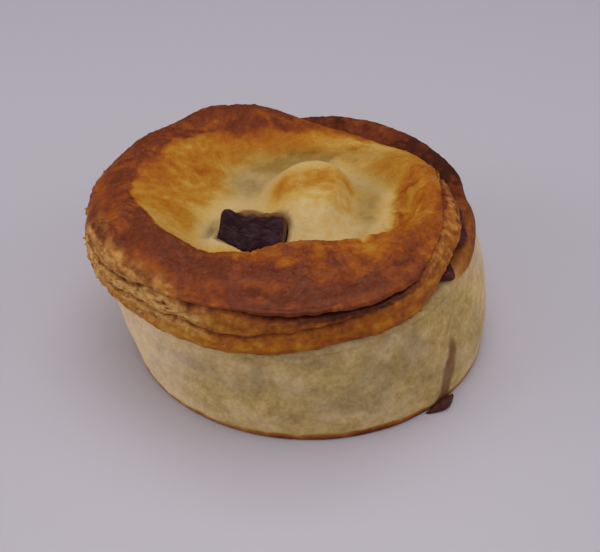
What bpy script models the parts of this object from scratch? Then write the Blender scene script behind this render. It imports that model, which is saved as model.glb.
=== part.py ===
"""Steak and peppercorn pie: a free-standing shortcrust case, its gravy filling, a puffed lid that has slid
to the left, a chunk of steak in the lid's vent and a drop of gravy baked on at the foot.

Metres, +Z up, origin at the centre of the flat foot. The front of the pie faces -Y. Angles are in degrees,
counter-clockwise from +X (the pie's right) as seen from above. Lengths below are in millimetres.
"""

import bpy
import numpy as np

MM = 0.001
GAP = 0.3  # clearance between two pieces that touch

# Shortcrust case: a drum that leans a little to the left as it rises.
FOOT_RADIUS = 50.0
FOOT_ROUNDING = 1.2
CASE_LEAN = np.array([-4.5, 3.0])  # how far the top of the case stands from over its foot
CASE_HEIGHT = 36.0
WALL = 4.5
BASE_THICKNESS = 4.0
SHOULDER_DROP = 2.6  # from the joint down to where the rim starts to round off

# The joint between case and lid is a plane that falls away to the front left.
JOINT_HEIGHT = 31.0
JOINT_SLOPE = 0.10
JOINT_UPHILL = 40.0

# Puff lid, round its own centre.
LID_CENTRE = np.array([-8.0, 2.0])
FLOOR_HEIGHT = 36.4
FILLING_DOME = 2.4
DOME_RADIUS = 38.0

# Vent in the lid, and the steak in it.
VENT_CENTRE = np.array([-14.6, -16.4])
STEAK_HALF = np.array([8.6, 8.4, 4.6])
STEAK_SQUARENESS = 4.5
STEAK_TURN = -4.0
VENT_CLEARANCE = 0.5

# Where the lid has lifted off the rim on the right, and gravy has come out.
OOZE_ANGLE = -22.0
OOZE_SPREAD = 42.0
OOZE_LIFT = 2.4

# Drop of gravy at the foot.
DROP_ANGLE = -48.0
DROP_HALF_ANGLE = 6.0
DROP_WIDTH = 2.6
DROP_HEIGHT = 2.6


def smooth(t):
    """0 below 0, 1 above 1, and a smooth step between them."""
    t = np.clip(t, 0.0, 1.0)
    return t * t * (3.0 - 2.0 * t)


def hill(angle, centre, spread):
    """A smooth hill round the pie: 1 at the centre angle, 0 from one spread away."""
    away = np.abs((np.asarray(angle) - centre + 180.0) % 360.0 - 180.0)
    return np.where(away < spread, 0.5 + 0.5 * np.cos(np.pi * np.minimum(away / spread, 1.0)), 0.0)


def around(angle, base, hills):
    """A size that varies round the pie: a base value plus (height, centre, spread) hills."""
    return base + sum(height * hill(angle, centre, spread) for height, centre, spread in hills)


def direction(angle):
    return np.stack([np.cos(np.radians(angle)), np.sin(np.radians(angle))], -1)


def polar(x, y, centre):
    """Distance and angle of points from a centre."""
    dx, dy = x - centre[0], y - centre[1]
    return np.hypot(dx, dy), np.degrees(np.arctan2(dy, dx))


# ---------------------------------------------------------------- forms of the case


def joint_plane(x, y):
    """Height of the plane between case and lid."""
    uphill = direction(JOINT_UPHILL)
    return JOINT_HEIGHT + JOINT_SLOPE * (x * uphill[0] + y * uphill[1])


def case_centre(z):
    return CASE_LEAN * smooth(np.asarray(z) / CASE_HEIGHT)[..., None]


def case_radius(angle, z):
    """Outside radius of the wall: it bellies out half-way up, and tucks in under the rim."""
    belly = around(angle, 0.6, [(0.9, 0, 75), (1.8, 188, 65)])
    tuck = around(angle, 1.2, [(0.6, -11, 26), (1.6, 9, 13), (-2.3, 30, 38), (-4.3, 82, 56), (-1.6, 185, 70)])
    up = np.clip(z / CASE_HEIGHT, 0.0, 1.0)
    return FOOT_RADIUS + belly * np.sin(np.pi * up) - tuck * smooth((up - 0.5) / 0.5)


def rim_width(angle):
    """Width of the rim that the lid lies on: wider behind, where the lid has slid away from the edge."""
    return around(angle, 9.5, [(4.5, 60, 62)])


def inward_of_edge(x, y):
    """How far a point on the rim lies in from the rim's outer edge."""
    z = joint_plane(x, y) - SHOULDER_DROP
    centre = case_centre(z)
    r, angle = polar(x, y, (centre[..., 0], centre[..., 1]))
    return case_radius(angle, z) - r


def rim_rise(x, y):
    """How far the rim swells above the joint plane: a rolled lip where the lid leaves it bare."""
    _, angle = polar(x, y, CASE_LEAN)
    crown = around(angle, 0.0, [(3.6, 62, 64), (1.7, -14, 42)])
    inward = inward_of_edge(x, y)
    inner_slope = smooth((9.5 - inward) / around(angle, 4.2, [(2.3, 62, 64)]))
    return crown * inner_slope * smooth((inward + 0.6) / 2.4)


def joint(x, y):
    """Height of the surface that parts case and lid."""
    return joint_plane(x, y) + rim_rise(x, y)


def ooze(angle, ease=1.6):
    """1 where gravy has come out between lid and rim, 0 where the joint is shut."""
    return smooth(ease * hill(angle, OOZE_ANGLE, OOZE_SPREAD))


# ---------------------------------------------------------------- forms of the lid


def crest_radius(angle):
    """Where the lid's raised rim is highest: broad in front, at the very edge behind."""
    hills = [(-7.4, -80, 50), (2.0, 180, 30), (6.5, 118, 60), (3.0, -18, 40), (2.0, 40, 40)]
    return around(angle, 38.0, hills)


def crest_height(angle):
    hills = [(0.5, -80, 60), (-0.6, -118, 30), (-7.4, 58, 48), (-1.0, 18, 30), (1.7, 110, 26), (0.9, 138, 30)]
    return around(angle, 43.6, hills)


def floor_radius(angle):
    """Where the lid's inner slope starts: steep in front, a long slope on the left."""
    return around(angle, 24.0, [(-13.0, 165, 80), (9.0, -12, 55)])


def brow_radius(angle):
    """The lid's outermost edge, at the top layer."""
    hills = [(1.2, 185, 60), (1.6, -85, 60), (-5.6, 2, 60), (-2.6, 58, 45), (1.6, 130, 45)]
    return around(angle, 49.2, hills)


def shelf(angle):
    """How far the lower layers stand out beyond the top one: on the far left, and all down the right side."""
    return around(angle, 0.0, [(1.9, 197, 48), (1.6, -22, 50)])


def lip_drawn_in(angle):
    """How far the top layer's lip is drawn in on the right, which bares the shelf below it."""
    return around(angle, 0.0, [(1.3, -14, 42)])


def lid_foot_radius(angle):
    """The lid's lower edge: out over the case in front, tucked under on the left."""
    return around(angle, 48.2, [(3.6, -88, 55), (3.8, -52, 28), (1.6, 192, 55), (-6.4, 32, 56)])


def mound(x, y):
    """Height of the swelling over a lump of filling: steep behind, gentle towards the front."""
    dx, dy = x - 1.2, y - 8.0
    away = np.hypot(np.where(dx > 0, dx / 13.6, dx / 15.5), np.where(dy > 0, dy / 15.0, dy / 27.0))
    return 6.2 * smooth(1.8 * (1.0 - away))


def crease_radius(angle):
    """Where the brown roll laps over the golden slope on the left."""
    return around(angle, 35.9, [(4.6, -185, 40), (-1.2, -105, 20)])


def folds(x, y):
    """Height of the ridges where the lid is gathered on the right: arcs that swing out as they go back."""
    r, angle = polar(x, y, LID_CENTRE)
    along = r - 34.0 - 0.012 * np.maximum(angle + 14.0, 0.0) ** 2
    ridges = np.cos(2.0 * np.pi * along / 4.6)
    return 0.55 * ridges * hill(angle, 6, 24) * smooth((along + 2.0) / 3.0) * smooth((9.0 - along) / 3.0)


def lid_top(x, y):
    """Height of the lid's upper surface: a sunken floor, the mound, the inner slope and the broad rim."""
    r, angle = polar(x, y, LID_CENTRE)
    crest_r, crest_z, floor_r = crest_radius(angle), crest_height(angle), floor_radius(angle)
    brow_r = brow_radius(angle)
    share = np.clip((r - floor_r) / (crest_r - floor_r), 0.0, 1.0)
    crisp = 0.75 * hill(angle, -140, 62)
    rise = smooth(share) * (1.0 - crisp) + crisp * share**1.5
    lap = 0.9 * smooth(r - crease_radius(angle)) * smooth((crease_radius(angle) + 8.0 - r) / 6.0)
    lap = lap * smooth(3.0 * hill(angle, -146, 34))
    notch = -1.3 * np.exp(-(((x + 14.8) / 2.6) ** 2 + ((y + 29.0) / 4.5) ** 2))
    outer = np.clip((r - crest_r) / (brow_r - crest_r), 0.0, 1.0)
    drop = around(angle, 3.4, [(1.6, -90, 70), (-2.6, 60, 50)])
    floor = FLOOR_HEIGHT - 1.2 * np.exp(-(((x + 14) / 12) ** 2 + ((y - 12) / 9) ** 2))
    ripple = 0.35 * np.sin(np.radians(angle * 7 + 40)) + 0.25 * np.sin(np.radians(angle * 13 - 20))
    ripple = ripple * smooth((r - crest_r + 8) / 8)
    base = floor + mound(x, y)
    top = base + (crest_z - base) * rise - drop * outer**2.2 + ripple + folds(x, y) + lap + notch
    thin = lid_under(x, y) + 1.4
    return 0.5 * (top + thin + np.sqrt((top - thin) ** 2 + 0.3))


def lid_under(x, y):
    """Height of the lid's lower surface: on the joint plane, domed over the filling, lifted at the ooze."""
    r, angle = polar(x, y, CASE_LEAN)
    dome = FILLING_DOME * (1.0 - np.clip(r / DOME_RADIUS, 0.0, 1.0) ** 2) ** 2
    lift = OOZE_LIFT * ooze(angle) * smooth((r - 30.0) / 10.0)
    return joint(x, y) + dome + lift + GAP / 2


BROW_INSET = 2.4  # how far in from the brow the top surface ends and the side begins

# The lid's side: how far down it each row of a layer lies, as a share of the layer, and how far in (-) or out (+)
# it lies of the line from the brow to the foot. The deep crack parts the top layer from the middle one, and the
# groove parts that from the lowest band.
TOP_LAYER = ((0.0, -BROW_INSET), (0.25, -0.8), (0.5, 0.0), (0.85, 0.0), (1.0, -0.6))
MIDDLE_LAYER = ((0.05, -2.2), (0.18, -0.3), (0.5, 0.05), (0.84, -0.3), (1.0, -1.4))
LOWEST_BAND = ((0.14, -0.4), (0.4, 0.3), (0.7, 0.5), (0.88, 0.1), (1.0, -1.0))


def crack_share(angle):
    """How far down the side the deep crack lies: half-way on the left, high in front, at the top on the right."""
    return around(angle, 0.26, [(0.16, -155, 32), (-0.14, -110, 30), (-0.18, -12, 48)])


def groove_share(angle):
    """How far down the side the groove lies, above the lowest band."""
    return around(angle, 0.58, [(0.06, -155, 40), (-0.20, -62, 30), (-0.45, -8, 50)])


def side_rows(angle):
    """The side's rows from the brow down: share of the way down, and how far in or out of its line."""
    crack, groove = crack_share(angle), groove_share(angle)
    edges = (0.0 * angle, crack, groove, 0.0 * angle + 1.0)
    for layer, start, end in zip((TOP_LAYER, MIDDLE_LAYER, LOWEST_BAND), edges, edges[1:]):
        for place, out in layer:
            yield start + (end - start) * place, out


def layer_wave(angle, row):
    """How far a row of the lid's side wanders in and out: most where the layers have sprung open."""
    spring = around(angle, 0.25, [(0.45, -128, 45), (0.2, -20, 40)])
    slow = np.sin(np.radians(angle * (5 + row % 3) + 97 * row))
    quick = np.sin(np.radians(angle * (14 + row % 4) + 41 * row))
    return spring * (0.6 * slow + 0.5 * quick)


# ---------------------------------------------------------------- meshes


def make_object(name, points, faces, material):
    """A smooth-shaded object from points in millimetres and faces."""
    mesh = bpy.data.meshes.new(name)
    mesh.from_pydata((np.asarray(points) * MM).tolist(), [], faces)
    mesh.materials.append(material)
    mesh.shade_smooth()
    obj = bpy.data.objects.new(name, mesh)
    bpy.context.scene.collection.objects.link(obj)
    return obj


def make_material(name, colour, roughness):
    material = bpy.data.materials.new(name)
    material.use_nodes = True
    shader = material.node_tree.nodes["Principled BSDF"]
    shader.inputs["Base Color"].default_value = (*colour, 1.0)
    shader.inputs["Roughness"].default_value = roughness
    shader.inputs["Metallic"].default_value = 0.0
    return material


def quads_between(rings, turn, wrap):
    """Quads of a grid of rings of `turn` points each, closed round each ring and, with wrap, end to end."""
    ring, step = np.meshgrid(np.arange(rings if wrap else rings - 1), np.arange(turn), indexing="ij")
    up, on = (ring + 1) % rings, (step + 1) % turn
    quads = np.stack([ring * turn + step, ring * turn + on, up * turn + on, up * turn + step], -1)
    return quads.reshape(-1, 4).tolist()


def revolved_solid(name, rings, material):
    """A solid from rings of points, lowest pole first: each ring is an (n, 3) array, each pole a point."""
    first, last, loops = rings[0], rings[-1], np.array(rings[1:-1])
    count, turn = loops.shape[:2]
    points = np.concatenate([loops.reshape(-1, 3), [first, last]])
    faces = quads_between(count, turn, wrap=False)
    bottom, top, start = count * turn, count * turn + 1, (count - 1) * turn
    for k in range(turn):
        on = (k + 1) % turn
        faces.append((bottom, on, k))
        faces.append((top, start + k, start + on))
    return make_object(name, points, faces, material)


def ring_at(centre, radius, angle, z):
    """Points at a radius round a centre, both of which may vary with the angle."""
    flat = centre + direction(angle) * np.broadcast_to(radius, angle.shape)[:, None]
    return np.column_stack([flat, np.broadcast_to(z, angle.shape)])


def on_rim(angle, radius):
    """x and y at a radius from the axis of the case's rim."""
    flat = CASE_LEAN + direction(angle) * np.broadcast_to(radius, angle.shape)[:, None]
    return flat[:, 0], flat[:, 1]


def make_case(material):
    """The case: flat foot, bellied wall, swollen rim with a flat inner ledge, and the hollow that holds the filling."""
    angle = np.arange(0, 360, 4.5)
    inset = np.array([3.0, 0.35, 0.0]) * FOOT_ROUNDING / 1.2
    rings = [np.array([0.0, 0.0, 0.0])]
    rings.append(ring_at((0, 0), FOOT_RADIUS * 0.55, angle, 0.0))
    rings.append(ring_at((0, 0), FOOT_RADIUS - inset[0], angle, 0.0))
    rings.append(ring_at((0, 0), FOOT_RADIUS - inset[1], angle, 0.0))
    rings.append(ring_at((0, 0), FOOT_RADIUS + 0.3, angle, FOOT_ROUNDING * 0.6))
    rim_x, rim_y = on_rim(angle, case_radius(angle, CASE_HEIGHT))
    shoulder = joint_plane(rim_x, rim_y) - SHOULDER_DROP
    for share in (0.06, 0.16, 0.3, 0.45, 0.6, 0.74, 0.87, 1.0):
        z = shoulder * share
        centre = case_centre(z)
        flat = centre + direction(angle) * case_radius(angle, z)[:, None]
        rings.append(np.column_stack([flat, z]))
    edge = case_radius(angle, shoulder)
    centre = case_centre(shoulder)
    width = rim_width(angle)
    for inward, below in ((-0.35, 1.6), (0.2, 0.5), (1.2, 0.0), (2.6, 0.0)):
        flat = centre + direction(angle) * (edge - inward)[:, None]
        rings.append(np.column_stack([flat, joint(flat[:, 0], flat[:, 1]) - GAP / 2 - below]))
    for share in (0.36, 0.52, 0.7, 1.0):
        flat = centre + direction(angle) * (edge - share * width)[:, None]
        rings.append(np.column_stack([flat, joint(flat[:, 0], flat[:, 1]) - GAP / 2]))
    for share, extra in ((0.86, width), (0.74, WALL), (0.4, WALL), (0.0, WALL)):
        z = BASE_THICKNESS + (shoulder - BASE_THICKNESS) * share
        flat = case_centre(z) + direction(angle) * (case_radius(angle, z) - extra)[:, None]
        rings.append(np.column_stack([flat, z]))
    rings.append(np.array([0.0, 0.0, BASE_THICKNESS]))
    return revolved_solid("shortcrust_case", rings, material)


def gravy_reach(angle):
    """How far out over the rim the gravy has run: a thin tongue with two fat beads."""
    beads = 1.8 * hill(angle, -20, 8) + 4.6 * hill(angle, -40, 9)
    return smooth(2.2 * (hill(angle, OOZE_ANGLE, OOZE_SPREAD) - 0.3)) * (6.4 + beads)


def make_filling(material):
    """The filling: it fills the case and domes up under the lid, with a tongue of gravy out over the rim."""
    fine = np.arange(OOZE_ANGLE - 36, OOZE_ANGLE + 36, 2.5)
    angle = np.sort(np.concatenate([fine, np.arange(fine[-1] + 6.5, fine[0] + 355, 6.5)]))
    rim_x, rim_y = on_rim(angle, case_radius(angle, CASE_HEIGHT))
    shoulder = joint_plane(rim_x, rim_y) - SHOULDER_DROP
    rings = [np.array([0.0, 0.0, BASE_THICKNESS + GAP])]
    width = rim_width(angle)
    for share, extra in ((0.0, WALL), (0.4, WALL), (0.74, WALL), (0.86, width)):
        z = BASE_THICKNESS + (shoulder - BASE_THICKNESS) * share + (GAP if share == 0.0 else 0.0)
        z = z - (0.4 if share > 0.7 else 0.0)
        flat = case_centre(z) + direction(angle) * (case_radius(angle, z) - extra - 1.6 * GAP)[:, None]
        rings.append(np.column_stack([flat, z]))
    edge = case_radius(angle, shoulder)
    centre = case_centre(shoulder)
    inner = edge - width - 1.6 * GAP
    reach = gravy_reach(angle)
    over_rim = ooze(angle, ease=3.2)

    def tongue_ring(radius, share):
        """A ring on the tongue: share 0 on its underside, 1 on its top."""
        flat = centre + direction(angle) * radius[:, None]
        bottom = joint(flat[:, 0], flat[:, 1]) - 0.5 + (0.55 + GAP / 2) * over_rim
        top = lid_under(flat[:, 0], flat[:, 1]) - GAP - 0.3 * over_rim
        return np.column_stack([flat, bottom + (top - bottom) * share])

    rings.append(tongue_ring(inner, 0.0) - [0.0, 0.0, 0.6])
    rings.append(tongue_ring(inner, 0.0))
    rings.append(tongue_ring(inner + 0.62 * reach, 0.03))
    rings.append(tongue_ring(inner + 0.94 * reach + 0.1, 0.08))
    rings.append(tongue_ring(inner + reach + 0.14, 0.45))
    rings.append(tongue_ring(inner + 0.93 * reach + 0.1, 0.92))
    rings.append(tongue_ring(inner + 0.5 * reach - 0.2, 1.0))
    for share, sink in ((0.96, 0.6), (0.8, 0.3), (0.55, 0.0), (0.28, 0.0)):
        flat = CASE_LEAN + direction(angle) * (share * inner)[:, None]
        top = lid_under(flat[:, 0], flat[:, 1]) - GAP - sink * over_rim
        rings.append(np.column_stack([flat, top]))
    rings.append(np.array([*CASE_LEAN, float(lid_under(*CASE_LEAN)) - GAP]))
    return revolved_solid("gravy_filling", rings, material)


def steak_outline(x, y):
    """Turn and place the steak's plan: its front left corner is torn off."""
    x = x + 3.4 * smooth((-y - 1.5) / 6.0) * smooth((2.0 - x) / 8.0)
    turn = np.radians(STEAK_TURN)
    flat = np.column_stack([x * np.cos(turn) - y * np.sin(turn), x * np.sin(turn) + y * np.cos(turn)])
    return VENT_CENTRE + flat


def vent_outline(angle):
    """The vent's edge: the steak's plan with a little clearance."""
    way = direction(angle)
    half = STEAK_HALF[:2] + VENT_CLEARANCE
    reach = (np.abs(way / half) ** STEAK_SQUARENESS).sum(1) ** (-1 / STEAK_SQUARENESS)
    return steak_outline(*(way * reach[:, None]).T)


def make_lid(material):
    """The puff lid, as one ring-shaped surface: out over the top, down the layered side and back below."""
    angle = np.arange(0, 360, 3.75)
    vent = vent_outline(angle)
    side_top = LID_CENTRE + direction(angle) * (brow_radius(angle) - BROW_INSET)[:, None]
    rings = []
    for share in (0.0, 0.03, 0.12, 0.25, 0.4, 0.52, 0.62, 0.7, 0.77, 0.84, 0.92):
        flat = vent + (side_top - vent) * share
        z = lid_top(flat[:, 0], flat[:, 1]) - (0.9 if share == 0.0 else 0.0)
        rings.append(np.column_stack([flat, z]))
    top_z = lid_top(side_top[:, 0], side_top[:, 1])
    foot_r = lid_foot_radius(angle)
    foot = LID_CENTRE + direction(angle) * foot_r[:, None]
    foot_z = lid_under(foot[:, 0], foot[:, 1])
    relief = np.clip((top_z - foot_z) / 9.0, 0.25, 1.0)
    for row, (share, out) in enumerate(side_rows(angle)):
        below_crack = smooth((share - crack_share(angle)) / 0.08)
        stand_out = shelf(angle) * below_crack * smooth((1.05 - share) / 0.35)
        drawn_in = lip_drawn_in(angle) * (1.0 - below_crack) * min(row / 2.0, 1.0)
        radius = brow_radius(angle) * (1 - share) + foot_r * share + out * relief + stand_out - drawn_in
        radius = radius + layer_wave(angle, row) * smooth(share / 0.3) * smooth((1.0 - share) / 0.1)
        flat = LID_CENTRE + direction(angle) * radius[:, None]
        z = top_z + (foot_z - top_z) * share
        if row == len(TOP_LAYER + MIDDLE_LAYER + LOWEST_BAND) - 1:
            z = lid_under(flat[:, 0], flat[:, 1])
        rings.append(np.column_stack([flat, z]))
    under_edge = LID_CENTRE + direction(angle) * (foot_r - 3.0)[:, None]
    for share in (1.0, 0.96, 0.92, 0.88, 0.8, 0.65, 0.48, 0.3, 0.12, 0.0):
        flat = vent + (under_edge - vent) * share
        rings.append(np.column_stack([flat, lid_under(flat[:, 0], flat[:, 1])]))
    count, turn = len(rings), len(angle)
    points = np.concatenate(rings)
    faces = [face[::-1] for face in quads_between(count, turn, wrap=True)]
    return make_object("puff_lid", points, faces, material)


def boxed_ball(half, steps, squareness):
    """A rounded box: a cube's grid of points pushed onto the surface |x|^p + |y|^p + |z|^p = 1."""
    line = np.tan(np.linspace(-np.pi / 4, np.pi / 4, steps + 1))
    points, faces, index = [], [], {}
    for axis in range(3):
        for side in (-1.0, 1.0):
            for a in range(steps):
                for b in range(steps):
                    corners = []
                    for i, j in ((a, b), (a + 1, b), (a + 1, b + 1), (a, b + 1)):
                        spot = np.insert(np.array([line[i], line[j]]), axis, side)
                        key = tuple(np.round(spot, 6))
                        if key not in index:
                            index[key] = len(points)
                            points.append(spot)
                        corners.append(index[key])
                    outward = (side > 0) == (axis != 1)
                    faces.append(corners if outward else corners[::-1])
    points = np.array(points)
    points /= (np.abs(points) ** squareness).sum(1, keepdims=True) ** (1 / squareness)
    return points * half, faces


def make_steak(material):
    """A chunk of braised beef, with a torn knob at its back left corner."""
    points, faces = boxed_ball(STEAK_HALF, 8, STEAK_SQUARENESS)
    x, y, z = points.T
    lumps = 0.5 * np.sin(0.55 * x + 1.0) * np.cos(0.7 * y) + 0.35 * np.sin(1.1 * y + 0.6 * x + 2.0)
    top = smooth((z + 1.0) / 4.0)
    knob = 2.6 * np.exp(-(((x + 7.4) / 2.6) ** 2 + ((y - 4.6) / 2.6) ** 2))
    z = z + top * (lumps * 0.9 + knob + 0.05 * x)
    flat = steak_outline(x, y)
    seat = lid_under(flat[:, 0], flat[:, 1]).max()
    height = np.column_stack([flat, z + seat + STEAK_HALF[2] + 0.1])
    return make_object("steak_chunk", height, faces, material)


def make_drop(material):
    """A drop of gravy baked on along the foot of the wall: thickest at its middle."""
    along, across = 13, 8
    spots = np.linspace(-1, 1, along)[1:-1]
    tips = []
    loops = []
    for place in (-1.0, *spots, 1.0):
        angle = DROP_ANGLE + DROP_HALF_ANGLE * place
        full = np.sqrt(max(1.0 - place * place, 0.0)) * (0.8 + 0.2 * np.cos(3 * place))
        way = direction(angle)
        wall = FOOT_RADIUS + 0.3 + GAP
        if abs(place) == 1.0:
            tips.append(np.array([*(way * (wall + 0.6)), 0.35]))
            continue
        turn = np.linspace(0, 2 * np.pi, across, endpoint=False)
        out = wall + DROP_WIDTH * full * (0.5 - 0.5 * np.cos(turn))
        up = np.maximum(DROP_HEIGHT * full * (0.42 + 0.58 * np.sin(turn)), 0.0)
        loops.append(np.column_stack([way[0] * out, way[1] * out, up]))
    return revolved_solid("gravy_drop", [tips[0], *loops, tips[1]], material)


def main():
    for obj in list(bpy.data.objects):
        bpy.data.objects.remove(obj)
    make_case(make_material("shortcrust", (0.60, 0.45, 0.22), 0.75))
    make_filling(make_material("gravy", (0.035, 0.012, 0.005), 0.3))
    make_lid(make_material("puff_pastry", (0.50, 0.20, 0.05), 0.5))
    make_steak(make_material("steak", (0.03, 0.014, 0.012), 0.4))
    make_drop(make_material("baked_gravy", (0.03, 0.010, 0.006), 0.45))


main()
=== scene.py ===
"""Looks of a steak and peppercorn pie.

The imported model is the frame. Each of its solids is replaced by a finer surface of the same form, worked out on
a grid from the same sizes, with the blisters, leaves, cracks and baked colour that the solids leave out.
Lengths are in millimetres until a mesh is made. Angles are in degrees from +X seen from above; -Y is the front.
"""

import bpy
import numpy as np
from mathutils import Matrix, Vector


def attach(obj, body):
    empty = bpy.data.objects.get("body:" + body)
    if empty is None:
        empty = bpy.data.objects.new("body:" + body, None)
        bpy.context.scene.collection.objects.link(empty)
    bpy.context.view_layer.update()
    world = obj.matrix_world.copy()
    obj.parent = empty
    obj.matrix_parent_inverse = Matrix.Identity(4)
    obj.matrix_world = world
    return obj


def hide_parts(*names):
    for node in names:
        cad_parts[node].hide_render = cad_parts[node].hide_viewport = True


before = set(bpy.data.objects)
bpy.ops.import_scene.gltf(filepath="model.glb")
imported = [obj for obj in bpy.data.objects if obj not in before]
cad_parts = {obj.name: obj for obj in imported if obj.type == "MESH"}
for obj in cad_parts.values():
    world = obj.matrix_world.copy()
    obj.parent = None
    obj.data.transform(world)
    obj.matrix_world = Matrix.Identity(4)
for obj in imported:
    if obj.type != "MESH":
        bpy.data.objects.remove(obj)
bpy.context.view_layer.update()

MM = 0.001
GAP = 0.3  # clearance between two pieces that touch

# Shortcrust case: a drum that leans a little to the left as it rises.
FOOT_RADIUS = 50
CASE_LEAN = np.array([-4.5, 3])
CASE_HEIGHT = 36
WALL = 4.5
BASE_THICKNESS = 4
SHOULDER_DROP = 2.6
RIM_WIDTH = 9.5

# The joint between case and lid is a plane that falls away to the front left.
JOINT_HEIGHT = 31
JOINT_SLOPE = 0.1
JOINT_UPHILL = 40

# Puff lid, round its own centre.
LID_CENTRE = np.array([-8, 2])
FLOOR_HEIGHT = 36.4
FILLING_DOME = 2.4
DOME_RADIUS = 38
BROW_INSET = 2.4  # how far in from the brow the top surface ends and the side begins
THINNEST_LID = 1.4
TORN_LIP = 0.75  # how torn the bared lip looks

# Vent in the lid, and the steak in it.
VENT_CENTRE = np.array([-14.6, -16.4])
STEAK_HALF = np.array([8.6, 8.4, 4.6])
STEAK_SQUARENESS = 4.5
STEAK_TURN = -4
VENT_CLEARANCE = 0.3

# Where the lid has lifted off the rim on the right, and gravy has come out.
OOZE_ANGLE = -22
OOZE_SPREAD = 42
OOZE_LIFT = 2.4

# Drop of gravy at the foot.
DROP_ANGLE = -48
DROP_HALF_ANGLE = 6
DROP_WIDTH = 2.6
DROP_HEIGHT = 2.6

# Radii at which the rim and the side are rolled out flat for noise that follows them.
ROLLED_RIM = 44
ROLLED_SIDE = 49

# Steps round the pie of each ring, and rows down the top layer's lip.
LID_STEPS = 750
LAYER_STEPS = 900
CASE_STEPS = 600
LIP_ROWS = 25
FOOT_ROWS = 9  # rows of the case, from the middle of its underside, that stay plain


# ---------------------------------------------------------------- numbers


def smooth(t):
    """0 below 0, 1 above 1, and a smooth step between them."""
    t = np.clip(t, 0, 1)
    return t * t * (3 - 2 * t)


def climb(t, start, width):
    """0 below the start, 1 from one width above it, and a smooth step between them."""
    return smooth((t - start) / width)


def bell(t):
    """1 at 0, falling on both sides as exp(-t^2)."""
    return np.exp(-(t**2))


def hill(angle, centre, spread):
    """A smooth hill round the pie: 1 at the centre angle, 0 from one spread away."""
    away = np.abs((np.asarray(angle) - centre + 180) % 360 - 180)
    return np.where(away < spread, 0.5 + 0.5 * np.cos(np.pi * np.minimum(away / spread, 1)), 0)


def around(angle, base, *hills):
    """A size that varies round the pie: a base value plus (height, centre, spread) hills."""
    return base + sum(height * hill(angle, centre, spread) for height, centre, spread in hills)


def steps_between(place, knots):
    """A value that goes by smooth steps from each (place, value) knot to the next, and is level outside them."""
    at, value = np.array(knots, dtype=float).T
    k = np.clip(np.searchsorted(at, place, side="right") - 1, 0, len(at) - 2)
    return value[k] + (value[k + 1] - value[k]) * smooth((place - at[k]) / (at[k + 1] - at[k]))


def hilly(base, *hills):
    """A size that varies round the pie, as a function of the angle: see around."""
    return lambda angle: around(angle, base, *hills)


def knotted(*knots):
    """A function of the angle that goes by smooth steps from each (angle, value) knot to the next."""
    start, value = knots[0]
    knots = [*knots, (start + 360, value)]
    return lambda angle: steps_between((np.asarray(angle) - start) % 360 + start, knots)


def direction(angle):
    """The unit vector in plan that points at an angle."""
    return np.stack([np.cos(np.radians(angle)), np.sin(np.radians(angle))], -1)


def ring(centre, angle, radius):
    """Plan positions at a radius and angle round a centre."""
    return centre + direction(angle) * np.asarray(radius)[..., None]


def points_at(x, y, z=0):
    """Points from their coordinates."""
    return np.stack(np.broadcast_arrays(x, y, z), -1)


def xy(points):
    """The first two coordinates of points."""
    return points[..., 0], points[..., 1]


def over(flat, z):
    """Points over plan positions, at a height."""
    return points_at(*xy(flat), z)


def turned(x, y, angle):
    """Plan positions turned about the origin."""
    turn = np.radians(angle)
    return np.stack([x * np.cos(turn) - y * np.sin(turn), x * np.sin(turn) + y * np.cos(turn)], -1)


def polar(x, y, centre):
    """Distance and angle of points from a centre."""
    dx, dy = x - centre[0], y - centre[1]
    return np.hypot(dx, dy), np.degrees(np.arctan2(dy, dx))


def from_line(x, y, start, end):
    """Distance of points from a straight stretch, and how far along it they lie, from 0 to 1."""
    way = np.subtract(end, start)
    along = np.clip(((x - start[0]) * way[0] + (y - start[1]) * way[1]) / (way**2).sum(), 0, 1)
    return np.hypot(x - start[0] - along * way[0], y - start[1] - along * way[1]), along


def spots(x, y, patches):
    """A sum of soft patches (strength, centre, size): each falls as a bell of the given half widths."""
    return sum(
        strength * np.exp(-(((x - cx) / width) ** 2 + ((y - cy) / depth) ** 2))
        for strength, (cx, cy), (width, depth) in patches
    )


def scramble(cell, seed):
    """A repeatable whole number for each cell of a cubic lattice."""
    n = cell[..., 0] * 374761393 + cell[..., 1] * 668265263 + cell[..., 2] * 1440662683 + seed * 1274126177
    n = (n ^ (n >> 13)) & 0xFFFFFFFF
    n = (n * 1103515245 + 12345) & 0xFFFFFFFF
    n = (n ^ (n >> 15)) * 2246822519 & 0xFFFFFFFF
    return n ^ (n >> 13)


def noise(points, size, seed=0, octaves=1):
    """Gradient noise of about -1 to 1, with features of the given size, halved in each octave.

    In each octave, every lattice corner around a point has a random slope; the eight slopes' heights at the
    point are blended by smooth steps.
    """
    total, weight = 0, 1
    for octave in range(octaves):
        place = np.asarray(points) / (np.asarray(size) / 2**octave)
        cell = np.floor(place).astype(np.int64)
        part = place - cell
        blend = part**3 * (part * (part * 6 - 15) + 10)
        value = 0
        for corner in np.ndindex(2, 2, 2):
            code = scramble(cell + corner, seed + 101 * octave)
            tilt = np.stack([(code >> shift & 255) / 127.5 - 1 for shift in (0, 8, 16)], -1)
            share = np.prod(np.where(corner, blend, 1 - blend), -1)
            value = value + share * (tilt * (part - corner)).sum(-1)
        total = total + weight * value * 1.6
        weight *= 0.5
    return total


# ---------------------------------------------------------------- tables

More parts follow.
